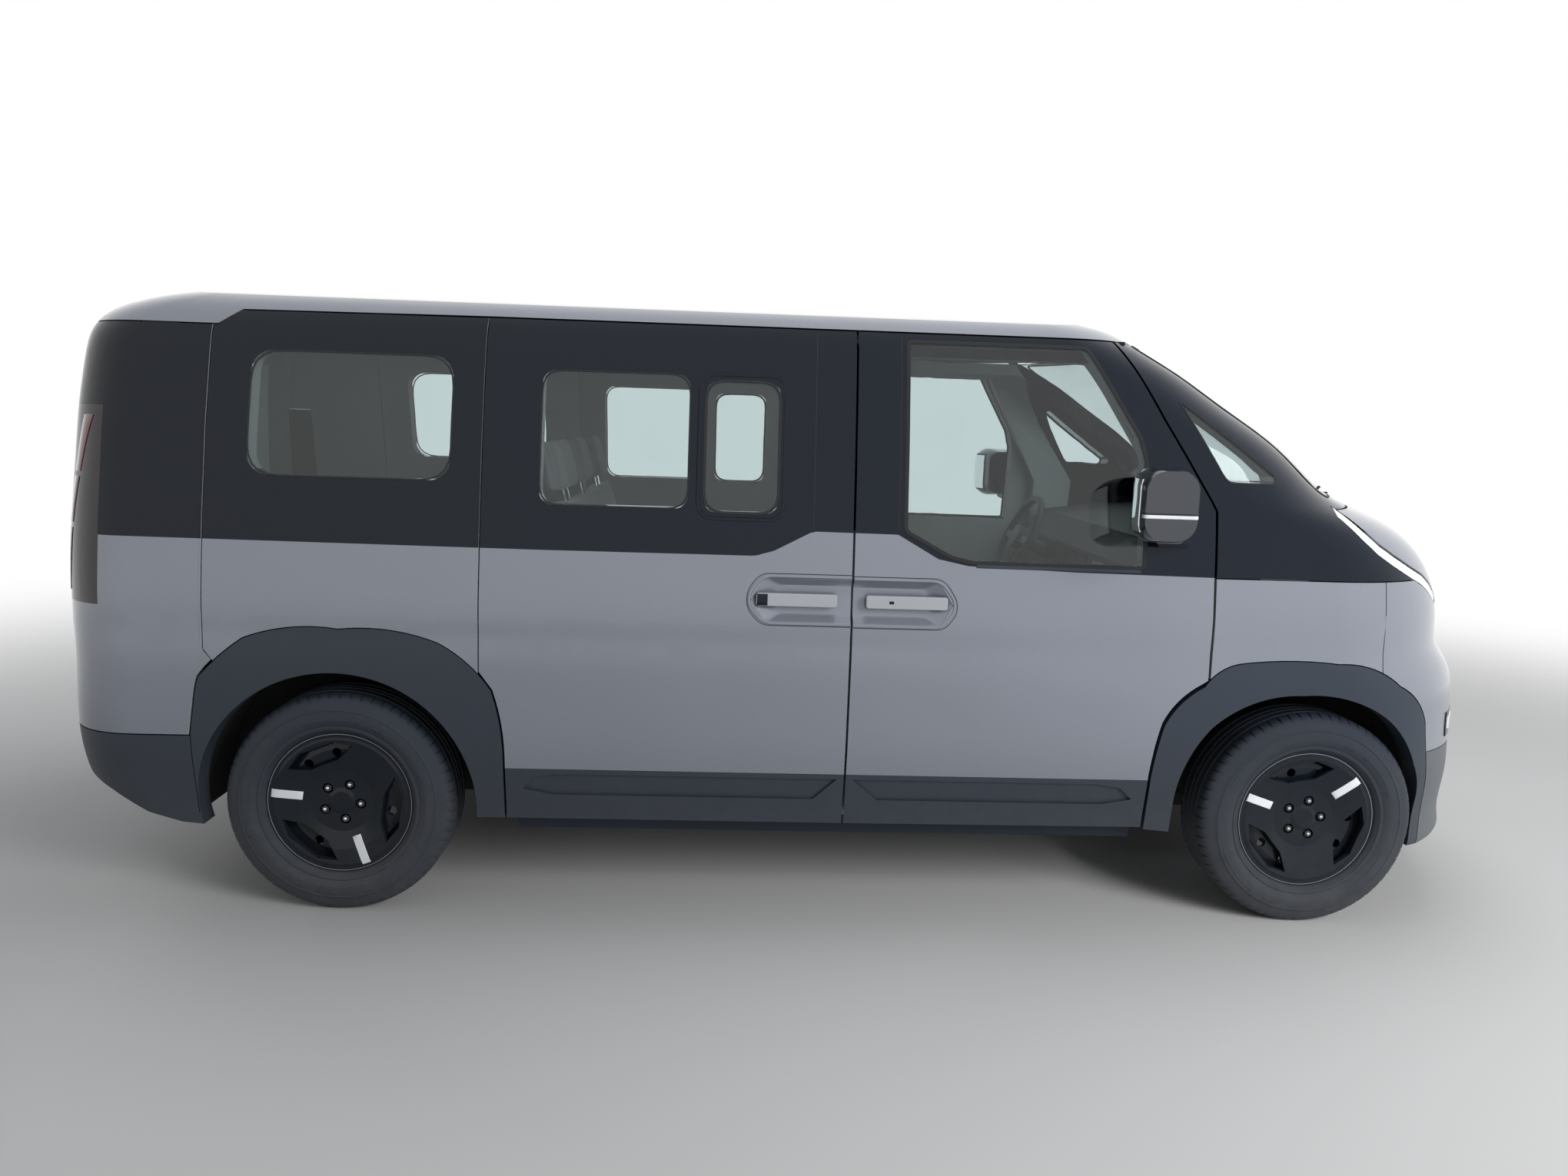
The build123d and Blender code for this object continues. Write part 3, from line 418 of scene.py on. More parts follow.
# %% Rounded outlines in the side view
ROUND_STEPS = 5


def rounded(corners, radius, closed=True, step=0.03):
    """An outline with rounded corners and evenly set points."""
    corners = [Vector(c) for c in corners]
    count = len(corners)
    outline = []
    for index, corner in enumerate(corners):
        if not closed and index in (0, count - 1):
            outline.append(corner)
            continue
        before = corners[index - 1] - corner
        after = corners[(index + 1) % count] - corner
        reach = min(radius, 0.45 * before.length, 0.45 * after.length)
        start = corner + before.normalized() * reach
        end = corner + after.normalized() * reach
        for part in range(ROUND_STEPS + 1):
            t = part / ROUND_STEPS
            outline.append((1 - t) ** 2 * start + 2 * t * (1 - t) * corner + t * t * end)
    path = []
    for index, point in enumerate(outline):
        path.append(point)
        if index + 1 == len(outline) and not closed:
            break
        ahead = outline[(index + 1) % len(outline)]
        extra = int((ahead - point).length / step)
        for part in range(1, extra + 1):
            path.append(point.lerp(ahead, part / (extra + 1)))
    return path


# %% Where the skin lies
JOINT_REACH = 0.0015
BESIDE = 1.4
AHEAD = 3.0
skins = {}


def skin_tree(names):
    """A ray tree over the named solids, made once."""
    if names not in skins:
        corners = []
        faces = []
        for name in names.split():
            mesh = nodes[name].data
            start = len(corners)
            corners += [v.co.copy() for v in mesh.vertices]
            faces += [[start + v for v in p.vertices] for p in mesh.polygons]
        skins[names] = BVHTree.FromPolygons(corners, faces)
    return skins[names]


def cast(names, origin, direction):
    """The point where a ray first meets the named solids, and its outward normal.

    Four rays close by help it over the thin joints between panels.
    """
    origin = Vector(origin)
    direction = Vector(direction)
    across = direction.orthogonal().normalized() * JOINT_REACH
    other = direction.cross(across).normalized() * JOINT_REACH
    hits = []
    for aside in (Vector(), across, -across, other, -other):
        place, normal, _, distance = skin_tree(names).ray_cast(origin + aside, direction)
        if place is not None:
            hits.append((distance, normal))
    if not hits:
        raise RuntimeError(f"no skin of {names} at {tuple(origin)}")
    distance, normal = min(hits, key=lambda hit: hit[0])
    if normal.dot(direction) > 0:
        normal = -normal
    return origin + direction * distance, normal


def on_side(names, side):
    """A finder of skin points on one side of the body, from (x, z)."""
    def find(point):
        return cast(names, (point[0], side * BESIDE, point[1]), (0, -side, 0))
    return find


def on_front(names, way=1):
    """A finder of skin points on the front or the back, from (y, z)."""
    def find(point):
        return cast(names, (way * AHEAD, point[0], point[1]), (-way, 0, 0))
    return find


# %% Meshes into pieces
SHARP = math.radians(35)
WELD = 0.00001
END_STEP = 0.0012


def linked(name, data):
    """A new object in the scene."""
    item = bpy.data.objects.new(name, data)
    bpy.context.scene.collection.objects.link(item)
    return item


def shaded(name, work, material):
    """Turns a working mesh into a smooth object of one material."""
    mesh = bpy.data.meshes.new(name)
    bmesh.ops.recalc_face_normals(work, faces=work.faces)
    work.to_mesh(mesh)
    work.free()
    mesh.shade_smooth()
    mesh.materials.append(material)
    return linked(name, mesh)


def add_piece(name, points, faces, material, body):
    """Makes a mesh object from points and faces, and lets it ride on a body."""
    work = bmesh.new()
    corners = [work.verts.new(p) for p in points]
    for face in faces:
        work.faces.new([corners[i] for i in face])
    bmesh.ops.remove_doubles(work, verts=work.verts, dist=WELD)
    piece = shaded(name, work, material)
    piece.data.set_sharp_from_angle(angle=SHARP)
    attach(piece, body)
    return piece


def wrap(rings, size, loop=False):
    """Faces round a row of closed rings; an open row is capped at both ends."""
    faces = []
    for ring in range(rings if loop else rings - 1):
        this = ring * size
        other = ((ring + 1) % rings) * size
        for k in range(size):
            n = (k + 1) % size
            faces.append((this + k, this + n, other + n, other + k))
    if not loop:
        faces += [tuple(range(size)), tuple((rings - 1) * size + k for k in range(size))]
    return faces


def band(name, find, path, width, rise, material, body, closed=True, sink=0.001):
    """A band with bevelled edges along a path that the finder lays on the skin."""
    spots = [find(p) for p in path]
    count = len(spots)
    bevel = min(rise, width * 0.25)
    profile = [(-width / 2, -sink), (-width / 2, rise - bevel), (-width / 2 + bevel, rise)]
    profile += [(-u, v) for u, v in reversed(profile)]
    points = []
    for index, (place, normal) in enumerate(spots):
        ahead = spots[(index + 1) % count][0] if closed or index + 1 < count else place
        behind = spots[index - 1][0] if closed or index else place
        along = (ahead - behind).normalized()
        across = along.cross(normal).normalized()
        for u, v in profile:
            points.append(place + across * u + normal * v)
    add_piece(name, points, wrap(count, len(profile), closed), material, body)


def strip(name, find, corners, radius, width, rise, material, body):
    """An open band through corners, each rounded."""
    path = rounded(corners, radius, closed=False)
    band(name, find, path, width, rise, material, body, closed=False)


def slab(name, find, us, vs, rise, material, body, sink=0.001, bevel=None):
    """A closed slab over a grid of (u, v) that the finder lays on the skin."""
    bevel = rise * 0.6 if bevel is None else bevel
    last_u = len(us) - 1
    last_v = len(vs) - 1
    points = []
    for level in (rise, -sink):
        for i, u in enumerate(us):
            for j, v in enumerate(vs):
                place, normal = find((u, v))
                edge = i in (0, last_u) or j in (0, last_v)
                points.append(place + normal * (level - (bevel if edge and level > 0 else 0)))
    wide = len(vs)
    total = len(us) * wide
    faces = []
    for i in range(last_u):
        for j in range(last_v):
            a = i * wide + j
            quad = (a, a + 1, a + wide + 1, a + wide)
            faces.append(quad)
            faces.append(tuple(total + q for q in reversed(quad)))
    rim = list(range(wide)) + [i * wide + last_v for i in range(1, last_u + 1)]
    rim += [last_u * wide + j for j in range(last_v - 1, -1, -1)]
    rim += [i * wide for i in range(last_u - 1, 0, -1)]
    for k, a in enumerate(rim):
        b = rim[(k + 1) % len(rim)]
        faces.append((a, b, total + b, total + a))
    add_piece(name, points, faces, material, body)


def span(low, high, step):
    """Even values from low to high, with one near each end for a bevel."""
    count = max(1, round((high - low) / step))
    edge = min(END_STEP, (high - low) * 0.1)
    inner = [low + (high - low) * i / count for i in range(1, count)]
    return [low, low + edge] + inner + [high - edge, high]


def patch(name, find, u_span, v_span, rise, material, body, flip=1):
    """A slab over a rectangle, given each way as (first, last, step)."""
    us = [flip * u for u in span(*u_span)]
    slab(name, find, us, span(*v_span), rise, material, body)


# %% [markdown]
# ## Wheels
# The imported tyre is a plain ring. A real one has grooves round it, cuts across
# its shoulders and raised bands on the wall. The new tyre is one outline turned
# round the axle in uneven steps: a narrow pair of steps in each pitch sinks
# at the shoulder and so becomes a cut. The wheel itself stays as packed, and
# gets its bars, nuts and rim line.

# %% Axles and turns of the four wheels
HUB_Z = 0.340
TRACK_HALF = 0.8175
WHEELS = [
    ("front_right", 1.5725, -1, 0.0),
    ("front_left", 1.5725, 1, 25.0),
    ("rear_right", -1.4225, -1, -132.0),
    ("rear_left", -1.4225, 1, 50.0),
]


def on_wheel(axle, side, turn, angle, radius, out):
    """A point from its angle, its radius and how far out it lies."""
    a = math.radians(angle - turn)
    return Vector((axle + radius * math.cos(a), side * (TRACK_HALF + out), HUB_Z + radius * math.sin(a)))


# %% Tyres with tread and raised bands
HALF_TYRE = [
    (0.2190, 0.0835), (0.2230, 0.0905), (0.2290, 0.0950), (0.2320, 0.0990), (0.2390, 0.1005),
    (0.2420, 0.0990), (0.2500, 0.1040), (0.2610, 0.1068), (0.2616, 0.1069), (0.2720, 0.1072),
    (0.2830, 0.1060), (0.2836, 0.1059), (0.2900, 0.1050), (0.2915, 0.1062), (0.2930, 0.1056),
    (0.2945, 0.1040), (0.3040, 0.1012), (0.3150, 0.0972), (0.3240, 0.0928), (0.3300, 0.0885),
    (0.3350, 0.0820), (0.3382, 0.0750), (0.3396, 0.0680), (0.3400, 0.0590), (0.3400, 0.0520),
    (0.3325, 0.0505), (0.3325, 0.0425), (0.3400, 0.0410), (0.3400, 0.0180), (0.3325, 0.0165),
    (0.3325, 0.0085), (0.3400, 0.0070),
]
RAISED = range(8, 11)
RAISE = 0.0009
SHOULDER = range(19, 24)
CUT_DEEP = 0.0045
CUT_SHALLOW = 0.0022
PITCHES = 66
STEPS = (0.0, 0.05, 0.13, 0.18, 0.59)
BAND_PITCHES = {p + k for p in (4, 37) for k in (0, 1, 2, 3, 4, 5, 8)}
BAND_PITCHES |= {p + k for p in (20, 53) for k in (0, 3, 4, 5, 6, 7, 8)}


def build_tyre(name, axle, side, turn):
    """One tyre, turned round its axle in uneven steps."""
    outer_side = [(r, w, i) for i, (r, w) in enumerate(HALF_TYRE)]
    inner_side = [(r, -w, i) for i, (r, w) in reversed(list(enumerate(HALF_TYRE)))]
    profile = outer_side + inner_side
    points = []
    for pitch in range(PITCHES):
        for number, part in enumerate(STEPS):
            angle = 360 * (pitch + part) / PITCHES
            cut = number in (1, 2)
            for r, w, i in profile:
                if cut and i in SHOULDER:
                    r -= CUT_DEEP if i > 20 else CUT_SHALLOW
                if i in RAISED and pitch in BAND_PITCHES:
                    w += math.copysign(RAISE, w)
                points.append(on_wheel(axle, side, turn, angle, r, w))
    faces = wrap(PITCHES * len(STEPS), len(profile), loop=True)
    tyre = add_piece(f"treaded_tyre_{name}", points, faces, rubber, f"wheel_{name}")
    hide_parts(f"tyre_{name}")


for name, axle, side, turn in WHEELS:
    build_tyre(name, axle, side, turn)

# %% Rings, nuts and bars on the wheels
COVER = [(0.0, 0.0700), (0.030, 0.0700), (0.042, 0.0660), (0.095, 0.0680), (0.150, 0.0790)]
COVER += [(0.196, 0.0860), (0.212, 0.0820)]
BARS = (40.0, 160.0)
LUGS = [4 + 72 * k for k in range(5)]
LUG_RING = 0.05715
RIM_LINE = [(0.2128, 0.0805), (0.2128, 0.0832), (0.2136, 0.0842)]
RIM_LINE += [(0.2146, 0.0842), (0.2152, 0.0832), (0.2152, 0.0805)]
BRAKE_FACE = [(0.078, 0.0125), (0.078, 0.0142), (0.132, 0.0142), (0.132, 0.0125)]
NUT_TIP = [(0.0, 0.060), (0.0062, 0.060), (0.0062, 0.0690)]
NUT_TIP += [(0.0054, 0.0712), (0.0034, 0.0727), (0.0, 0.0732)]
NUT = [(0.0064, 0.060), (0.0098, 0.060), (0.0098, 0.0672), (0.0088, 0.0684), (0.0064, 0.0684)]
NUT_RING = [(0.0160, 0.0650), (0.0160, 0.0674), (0.0167, 0.0680), (0.0176, 0.0676), (0.0180, 0.0650)]
BAR_ALONG = [0.1150, 0.1165, 0.130, 0.150, 0.170, 0.1935, 0.2035, 0.2050]
BAR_ACROSS = [-0.0130, -0.0118, 0.0, 0.0118, 0.0130]


def cover_height(radius):
    """How far out the cover lies at a radius."""
    for (r0, w0), (r1, w1) in zip(COVER, COVER[1:]):
        if radius <= r1:
            return w0 + (w1 - w0) * (radius - r0) / (r1 - r0)
    return COVER[-1][1]


def lathe(name, spec, centre, profile, steps, material, sides=None):
    """A closed outline (radius, out) turned round a point on the wheel face."""
    axle, side, turn, body = spec
    points = []
    for k in range(steps):
        a = math.radians(360 * k / steps)
        for radius, out in profile:
            if sides:
                radius = radius / math.cos((a + math.pi / sides) % (2 * math.pi / sides) - math.pi / sides)
            spot = on_wheel(axle, side, turn, centre[0], centre[1], out)
            points.append(spot + Vector((radius * math.cos(a), 0, radius * math.sin(a))))
    add_piece(name, points, wrap(steps, len(profile), loop=True), material, body)


def bar_finder(axle, side, turn, angle):
    """A finder on the wheel cover, along and across one spoke."""
    def find(point):
        along, across = point
        radius = math.hypot(along, across)
        swing = math.degrees(math.atan2(across, along))
        return on_wheel(axle, side, turn, angle + swing, radius, cover_height(along)), Vector((0, side, 0))
    return find


for name, axle, side, turn in WHEELS:
    body = f"wheel_{name}"
    spec = (axle, side, turn, body)
    lathe(f"rim_line_{name}", spec, (0, 0), RIM_LINE, 96, satin_silver)
    lathe(f"brake_face_{name}", spec, (0, 0), BRAKE_FACE, 72, chrome)
    for number, angle in enumerate(LUGS):
        centre = (angle, LUG_RING)
        lathe(f"nut_tip_{name}_{number}", spec, centre, NUT_TIP, 20, chrome)
        lathe(f"nut_{name}_{number}", spec, centre, NUT, 36, black_steel, sides=6)
        lathe(f"nut_ring_{name}_{number}", spec, centre, NUT_RING, 28, gloss_black)
    for angle in BARS:
        find = bar_finder(axle, side, turn, angle)
        slab(f"bar_{name}_{int(angle)}", find, BAR_ALONG, BAR_ACROSS, 0.0016, white_bar, body, bevel=0.0011)

# %% [markdown]
# ## Glass edges and seals
# Each pane sits in a rubber seal. The door glass has the widest one, with the
# door's own black frame round it, and the rear panes are nearly flush.

# %% Seals round the panes


def upright(x0, x1, z0, z1):
    """The corners of an upright pane."""
    return [(x0, z0), (x0, z1), (x1, z1), (x1, z0)]


DOOR_PANE = [(0.258, 1.215), (0.258, 1.778), (0.805, 1.778), (0.966, 1.514), (0.984, 1.446)]
DOOR_PANE += [(0.984, 1.124), (0.462, 1.127), (0.394, 1.142)]
CORNER_PANE = [(1.088, 1.632), (1.402, 1.408), (1.398, 1.385), (1.240, 1.387), (1.221, 1.407)]
SLIDE_WALL = "side_windows sliding_doors body_sides"
SIDE_PANES = [
    ("slide_pane", upright(-0.827, -0.392, 1.262, 1.655), 0.06, 0.005, SLIDE_WALL),
    ("vent_pane", upright(-0.345, -0.124, 1.254, 1.641), 0.06, 0.009, SLIDE_WALL),
    ("rear_pane", upright(-1.670, -1.087, 1.323, 1.684), 0.09, 0.005, "side_windows body_sides"),
    ("corner_pane", CORNER_PANE, 0.012, 0.006, "side_windows windscreen_frame"),
]
for side, word in SIDES:
    find = on_side(f"front_door_{word} door_glass_{word}", side)
    path = rounded(DOOR_PANE, 0.018)
    band(f"door_seal_{word}", find, path, 0.013, 0.0016, seal_rubber, f"front_door_{word}")
    for label, corners, radius, width, names in SIDE_PANES:
        path = rounded(corners, radius)
        band(f"{label}_seal_{word}", on_side(names, side), path, width, 0.0010, seal_rubber, "body")

SCREEN = [(-0.712, 1.345), (0.712, 1.345), (0.655, 1.800), (-0.655, 1.800)]
GATE_PANE = [(-0.610, 1.180), (0.610, 1.180), (0.560, 1.690), (-0.560, 1.690)]
screen_rim = on_front("windscreen windscreen_frame roof")
band("screen_seal", screen_rim, rounded(SCREEN, 0.03), 0.010, 0.0012, seal_rubber, "body")
back = on_front("tailgate tailgate_glass", -1)
band("gate_glass_seal", back, rounded(GATE_PANE, 0.03), 0.010, 0.0012, seal_rubber, "tailgate")

# %% Belt strip under the door glass, and the sliding pane's own frame
VENT_FRAME = upright(-0.362, -0.107, 1.236, 1.659)
WAIST = [(0.474, 1.118), (0.972, 1.115)]
PILLAR_LOW = 1.215
PILLAR_HIGH = 1.795
for side, word in SIDES:
    door = f"front_door_{word}"
    find = on_side(f"{door} door_glass_{word}", side)
    strip(f"waist_strip_{word}", find, WAIST, 0.01, 0.012, 0.0022, dark_plastic, door)
    find = on_side(SLIDE_WALL, side)
    band(f"vent_frame_{word}", find, rounded(VENT_FRAME, 0.05), 0.012, 0.0016, gloss_black, "body")
    for label, x, names, body in (("slide", -0.017, "sliding_doors", "body"), ("door", 0.238, door, door)):
        find = on_side(names, side)
        line = [(x, PILLAR_LOW), (x, PILLAR_HIGH)]
        strip(f"pillar_line_{label}_{word}", find, line, 0.01, 0.0035, 0.0005, seal_rubber, body)

# %% Rolled panel edges, and the front tip of the rear corner panel
REAR_EDGE_LINE = [(-1.7945, 1.735), (-1.7945, 0.825)]
TIP = [(-1.7935, 0.822), (-1.7890, 0.8090), (-1.7680, 0.7845), (-1.788, 0.764), (-1.8135, 0.733)]
TIP_ROUND = [(-1.800, 0.822), (-1.755, 0.797), (-1.822, 0.728)]
TIP_RISE = 0.0004
TIP_THICK = 0.006
for side, word in SIDES:
    find = on_side("rear_corners body_sides body_cladding", side)
    (a, _), (b, _), (c, _) = [find(p) for p in TIP_ROUND]
    plane = (b - a).cross(c - a)
    outer = []
    for x, z in TIP:
        drop = (plane.x * (x - a.x) + plane.z * (z - a.z)) / plane.y
        outer.append(Vector((x, a.y - drop - side * TIP_RISE, z)))
    inner = [p - Vector((0, side * TIP_THICK, 0)) for p in outer]
    add_piece(f"rear_corner_tip_{word}", outer + inner, wrap(2, len(TIP)), banded_paint, "body")
    find = on_side("rear_corners", side)
    strip(f"rear_edge_{word}", find, REAR_EDGE_LINE, 0.02, 0.0045, 0.0009, banded_paint, "body")

# %% [markdown]
# ## Door handles
# Both handles of a side share one long pressed cup. A raised frame runs round
# it and is cut by the door gap. Inside, the walls slope down to a floor, which
# gives the cup its soft shading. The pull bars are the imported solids.

# %% Frames and sloping cups
CUP = [(-0.197, 1.002), (-0.159, 1.068), (0.367, 1.065), (0.407, 0.999), (0.372, 0.937), (-0.155, 0.939)]
FRAME = [(-0.197, 0.989), (-0.197, 1.015), (-0.159, 1.068), (0.367, 1.065)]
FRAME += [(0.407, 1.012), (0.407, 0.986), (0.372, 0.937), (-0.155, 0.939)]
CUP_CENTRE = Vector((0.105, 1.002))
FRONT_EDGE = 0.1090
REAR_EDGE = 0.1010
CUP_DEPTH = 0.0205
CUP_SINK = 0.0005
SKIN_Y = 0.939
SKIN_SLOPE = 0.09
WALL_STEPS = ((1.0, 0.0), (0.97, 0.10), (0.88, 0.38), (0.77, 0.72), (0.67, 0.94), (0.60, 1.0))


def grown(corners, distance):
    """The outline moved outward by a distance at its corners."""
    result = []
    for x, z in corners:
        away = Vector((x, z)) - CUP_CENTRE
        rise = math.copysign(distance, away.y) if abs(away.y) > 0.01 else 0
        result.append((x + math.copysign(distance, away.x), z + rise))
    return result


def half_outline(outline, front, distance, radius):
    """The open part of an outline round the cup, before or behind the door gap."""
    corners = grown(outline, distance)
    if front:
        part = [c for c in corners if c[0] > FRONT_EDGE]
        part = [(FRONT_EDGE, part[0][1])] + part + [(FRONT_EDGE, part[-1][1])]
    else:
        part = [c for c in corners if c[0] < REAR_EDGE]
        part = [(REAR_EDGE, part[-1][1])] + part[-1:] + part[:-1] + [(REAR_EDGE, part[-2][1])]
    return rounded(part, radius, closed=False, step=0.02)


def cup_dish(name, side, front, body):
    """The sloping walls and floor of one half of the cup."""
    edge = half_outline(CUP, front, -CUP_SINK, 0.010)
    points = []
    for share, depth in WALL_STEPS:
        for p in edge:
            z = CUP_CENTRE.y + (p.y - CUP_CENTRE.y) * share
            x = p.x - (p.x - CUP_CENTRE.x) * (1 - share) * 0.5
            skin = SKIN_Y - SKIN_SLOPE * (z - CUP_CENTRE.y)
            points.append(Vector((x, side * (skin - CUP_SINK - depth * CUP_DEPTH), z)))
    count = len(edge)
    last = (len(WALL_STEPS) - 1) * count
    faces = []
    for row in range(0, last, count):
        for a in range(row, row + count - 1):
            faces.append((a, a + 1, a + count + 1, a + count))
    faces.append(tuple(range(last, last + count)))
    add_piece(name, points, faces, plain_paint, body)


for side, word in SIDES:
    door = f"front_door_{word}"
    for front, part, names, body in ((True, "front", door, door), (False, "rear", "sliding_doors", "body")):
        find = on_side(names, side)
        edge = half_outline(FRAME, front, 0.0056, 0.042)
        band(f"cup_frame_{part}_{word}", find, edge, 0.0105, 0.0024, plain_paint, body, closed=False)
        # The thin dark strip outside the frame is painted shadow: it stands for the shade that falls in the
        # groove round the frame.
        edge = half_outline(FRAME, front, 0.0125, 0.046)
        band(f"cup_shadow_{part}_{word}", find, edge, 0.0022, 0.0006, seal_rubber, body, closed=False)
        cup_dish(f"cup_{part}_{word}", side, front, body)

# %% Lock cover and handle ends
for side, word in SIDES:
    find = on_side(f"door_handle_{word}", side)
    us, vs = (0.214, 0.228, 0.007), (0.9995, 1.0085, 0.005)
    patch(f"lock_cover_{word}", find, us, vs, 0.0008, gloss_black, f"front_door_{word}")
    find = on_side("sliding_door_handles", side)
    us, vs = (-0.1795, -0.148, 0.01), (0.9865, 1.0215, 0.012)
    patch(f"handle_end_{word}", find, us, vs, 0.0008, gloss_black, "body")

# %% [markdown]
# ## Mirrors
# The head is a gloss black shell. A thin bright repeater lamp wraps round its
# outer end, and the glass faces back in a dark surround.

# %% Repeater lamps and mirror glass
SHELL_CENTRE = (0.965, 1.06, 1.297)
SPLIT_RISE = 0.0085


def round_shell(word, side, rise=0.0):
    """A finder of points round the mirror shell, from an angle in degrees."""
    centre = Vector((SHELL_CENTRE[0], side * SHELL_CENTRE[1], SHELL_CENTRE[2] + rise))

    def find(angle):
        a = math.radians(angle)
        away = Vector((math.cos(a), side * math.sin(a), 0))
        return cast(f"mirror_{word}", centre + away * 0.4, -away)
    return find


def shell_back(word, side):
    """A finder of points on the mirror's rear face, from (y, z)."""
    def find(point):
        return cast(f"mirror_{word}", (0.6, side * point[0], point[1]), (1, 0, 0))
    return find


for side, word in SIDES:
    body = f"front_door_{word}"
    angles = range(28, 142, 3)
    band(f"repeater_{word}", round_shell(word, side), angles, 0.010, 0.0012, white_bar, body, closed=False)
    angles = range(20, 160, 4)
    find = round_shell(word, side, SPLIT_RISE)
    band(f"mirror_split_{word}", find, angles, 0.003, 0.0006, seal_rubber, body, closed=False)
    find = shell_back(word, side)
    us, vs = (0.990, 1.118, 0.02), (1.243, 1.408, 0.02)
    patch(f"mirror_surround_{word}", find, us, vs, 0.0015, dark_plastic, body)
    us, vs = (0.998, 1.110, 0.02), (1.251, 1.400, 0.02)
    patch(f"mirror_glass_{word}", find, us, vs, 0.0032, mirror_glass, body)

# %% [markdown]
# ## Front and rear fittings
# The hidden ends carry what such a vehicle has: lamp units in the nose, an air
# intake with level bars, wipers, red strips in the tail lamps, reflectors, a
# high brake lamp and a grip for the tailgate. They are guesses, kept plain.

# %% Lamp units and the air intake
LENS_FIRST = 0.605
LENS_PITCH = 0.065
BAR_FIRST = 0.332
BAR_PITCH = 0.021
PORT = upright(-0.13, 0.13, 0.855, 0.975)
nose = on_front("nose_panel front_bumper")
for side, word in SIDES:
    us, vs = (0.565, 0.775, 0.03), (0.585, 0.665, 0.02)
    patch(f"lamp_unit_{word}", nose, us, vs, 0.003, gloss_black, "body", flip=side)
    for number in range(3):
        y = side * (LENS_FIRST + LENS_PITCH * number)
        us, vs = (y - 0.021, y + 0.021, 0.014), (0.606, 0.645, 0.013)
        patch(f"lamp_lens_{word}_{number}", nose, us, vs, 0.0052, lamp_white, "body")
patch("air_intake", nose, (-0.56, 0.56, 0.04), (0.318, 0.432, 0.03), 0.002, seal_rubber, "body")
for number in range(5):
    z = BAR_FIRST + BAR_PITCH * number
    us, vs = (-0.54, 0.54, 0.04), (z - 0.004, z + 0.004, 0.004)
    patch(f"intake_bar_{number}", nose, us, vs, 0.008, dark_plastic, "body")
band("charge_port_edge", nose, rounded(PORT, 0.02), 0.0028, 0.0005, seal_rubber, "body")

# %% Rear fittings
TAIL_STRIPS = ((0.965, 1.150), (1.165, 1.300), (1.315, 1.480))
patch("gate_grip", back, (-0.20, 0.20, 0.04), (1.062, 1.098, 0.012), 0.004, gloss_black, "tailgate")
patch("high_brake_lamp", back, (-0.16, 0.16, 0.04), (1.742, 1.760, 0.009), 0.003, red_lens, "tailgate")
lens = on_front("tail_lamps", -1)
bumper = on_front("rear_bumper", -1)
for side, word in SIDES:
    for number, (z0, z1) in enumerate(TAIL_STRIPS):
        us, vs = (0.812, 0.838, 0.013), (z0, z1, 0.03)
        patch(f"tail_strip_{word}_{number}", lens, us, vs, 0.0015, red_lens, "body", flip=side)
    us, vs = (0.66, 0.78, 0.03), (0.470, 0.500, 0.01)
    patch(f"reflector_{word}", bumper, us, vs, 0.002, red_lens, "body", flip=side)

# %% Wipers
ROD_PROFILE = ((-1, -1), (-1, 0.6), (-0.6, 1), (0.6, 1), (1, 0.6), (1, -1))


def rod(name, path, width, height, material, body):
    """A slim bar through points, wide across and flat in height."""
    points = []
    for index, place in enumerate(path):
        along = (path[min(index + 1, len(path) - 1)] - path[max(index - 1, 0)]).normalized()
        across = along.cross(Vector((0, 0, 1))).normalized()
        above = across.cross(along).normalized()
        for u, v in ROD_PROFILE:
            points.append(place + across * (u * width / 2) + above * (v * height / 2))
    add_piece(name, points, wrap(len(path), len(ROD_PROFILE)), material, body)


def lifted(find, point, height):
    """A point held off the skin."""
    place, normal = find(point)
    return place + normal * height


ARM_STEPS = 8
BLADE_STEPS = 14
BLADE_RISE = Vector((0, 0.020))
FRONT_WIPERS = (("right", (-0.06, 1.323), (-0.62, 1.352)), ("left", (0.60, 1.323), (0.02, 1.350)))
GATE_PIVOT = (0.02, 1.150)
glassy = on_front("windscreen windscreen_frame hood")
for word, pivot, tip in FRONT_WIPERS:
    start, end = Vector(pivot), Vector(tip)
    arm = []
    for i in range(6):
        lift = 0.003 + 0.003 * math.sin(math.pi * i / ARM_STEPS)
        arm.append(lifted(glassy, start.lerp(end, i / ARM_STEPS), lift))
    rod(f"wiper_arm_{word}", arm, 0.012, 0.006, black_steel, "body")
    spots = [end.lerp(start, 0.02 + 0.96 * t / BLADE_STEPS) + BLADE_RISE for t in range(BLADE_STEPS + 1)]
    rod(f"wiper_blade_{word}", [lifted(glassy, p, 0.003) for p in spots], 0.008, 0.006, seal_rubber, "body")
    post = [lifted(glassy, pivot, height) for height in (0.0, 0.006)]
    rod(f"wiper_pivot_{word}", post, 0.024, 0.024, black_steel, "body")
shares = [t / ARM_STEPS for t in range(ARM_STEPS + 1)]
gate_arm = [lifted(back, (GATE_PIVOT[0] + 0.30 * s, GATE_PIVOT[1] + 0.055 * s), 0.020) for s in shares]
rod("rear_wiper_arm", gate_arm, 0.014, 0.010, black_steel, "tailgate")
gate_blade = [lifted(back, (0.10 + 0.36 * s, 1.205), 0.009) for s in shares]
rod("rear_wiper_blade", gate_blade, 0.008, 0.014, seal_rubber, "tailgate")
post = [lifted(back, GATE_PIVOT, height) for height in (0.0, 0.028)]
rod("rear_wiper_pivot", post, 0.03, 0.03, black_steel, "tailgate")

# %% [markdown]
# ## Seats
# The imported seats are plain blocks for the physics. Real ones are crowned
# pads whose sides pull in between the corners, with sewn channels across the
# middle panel and a piping round the edge. They are only seen through glass,
# so they are shaped directly from a dense rounded block, without a cloth
# simulation.

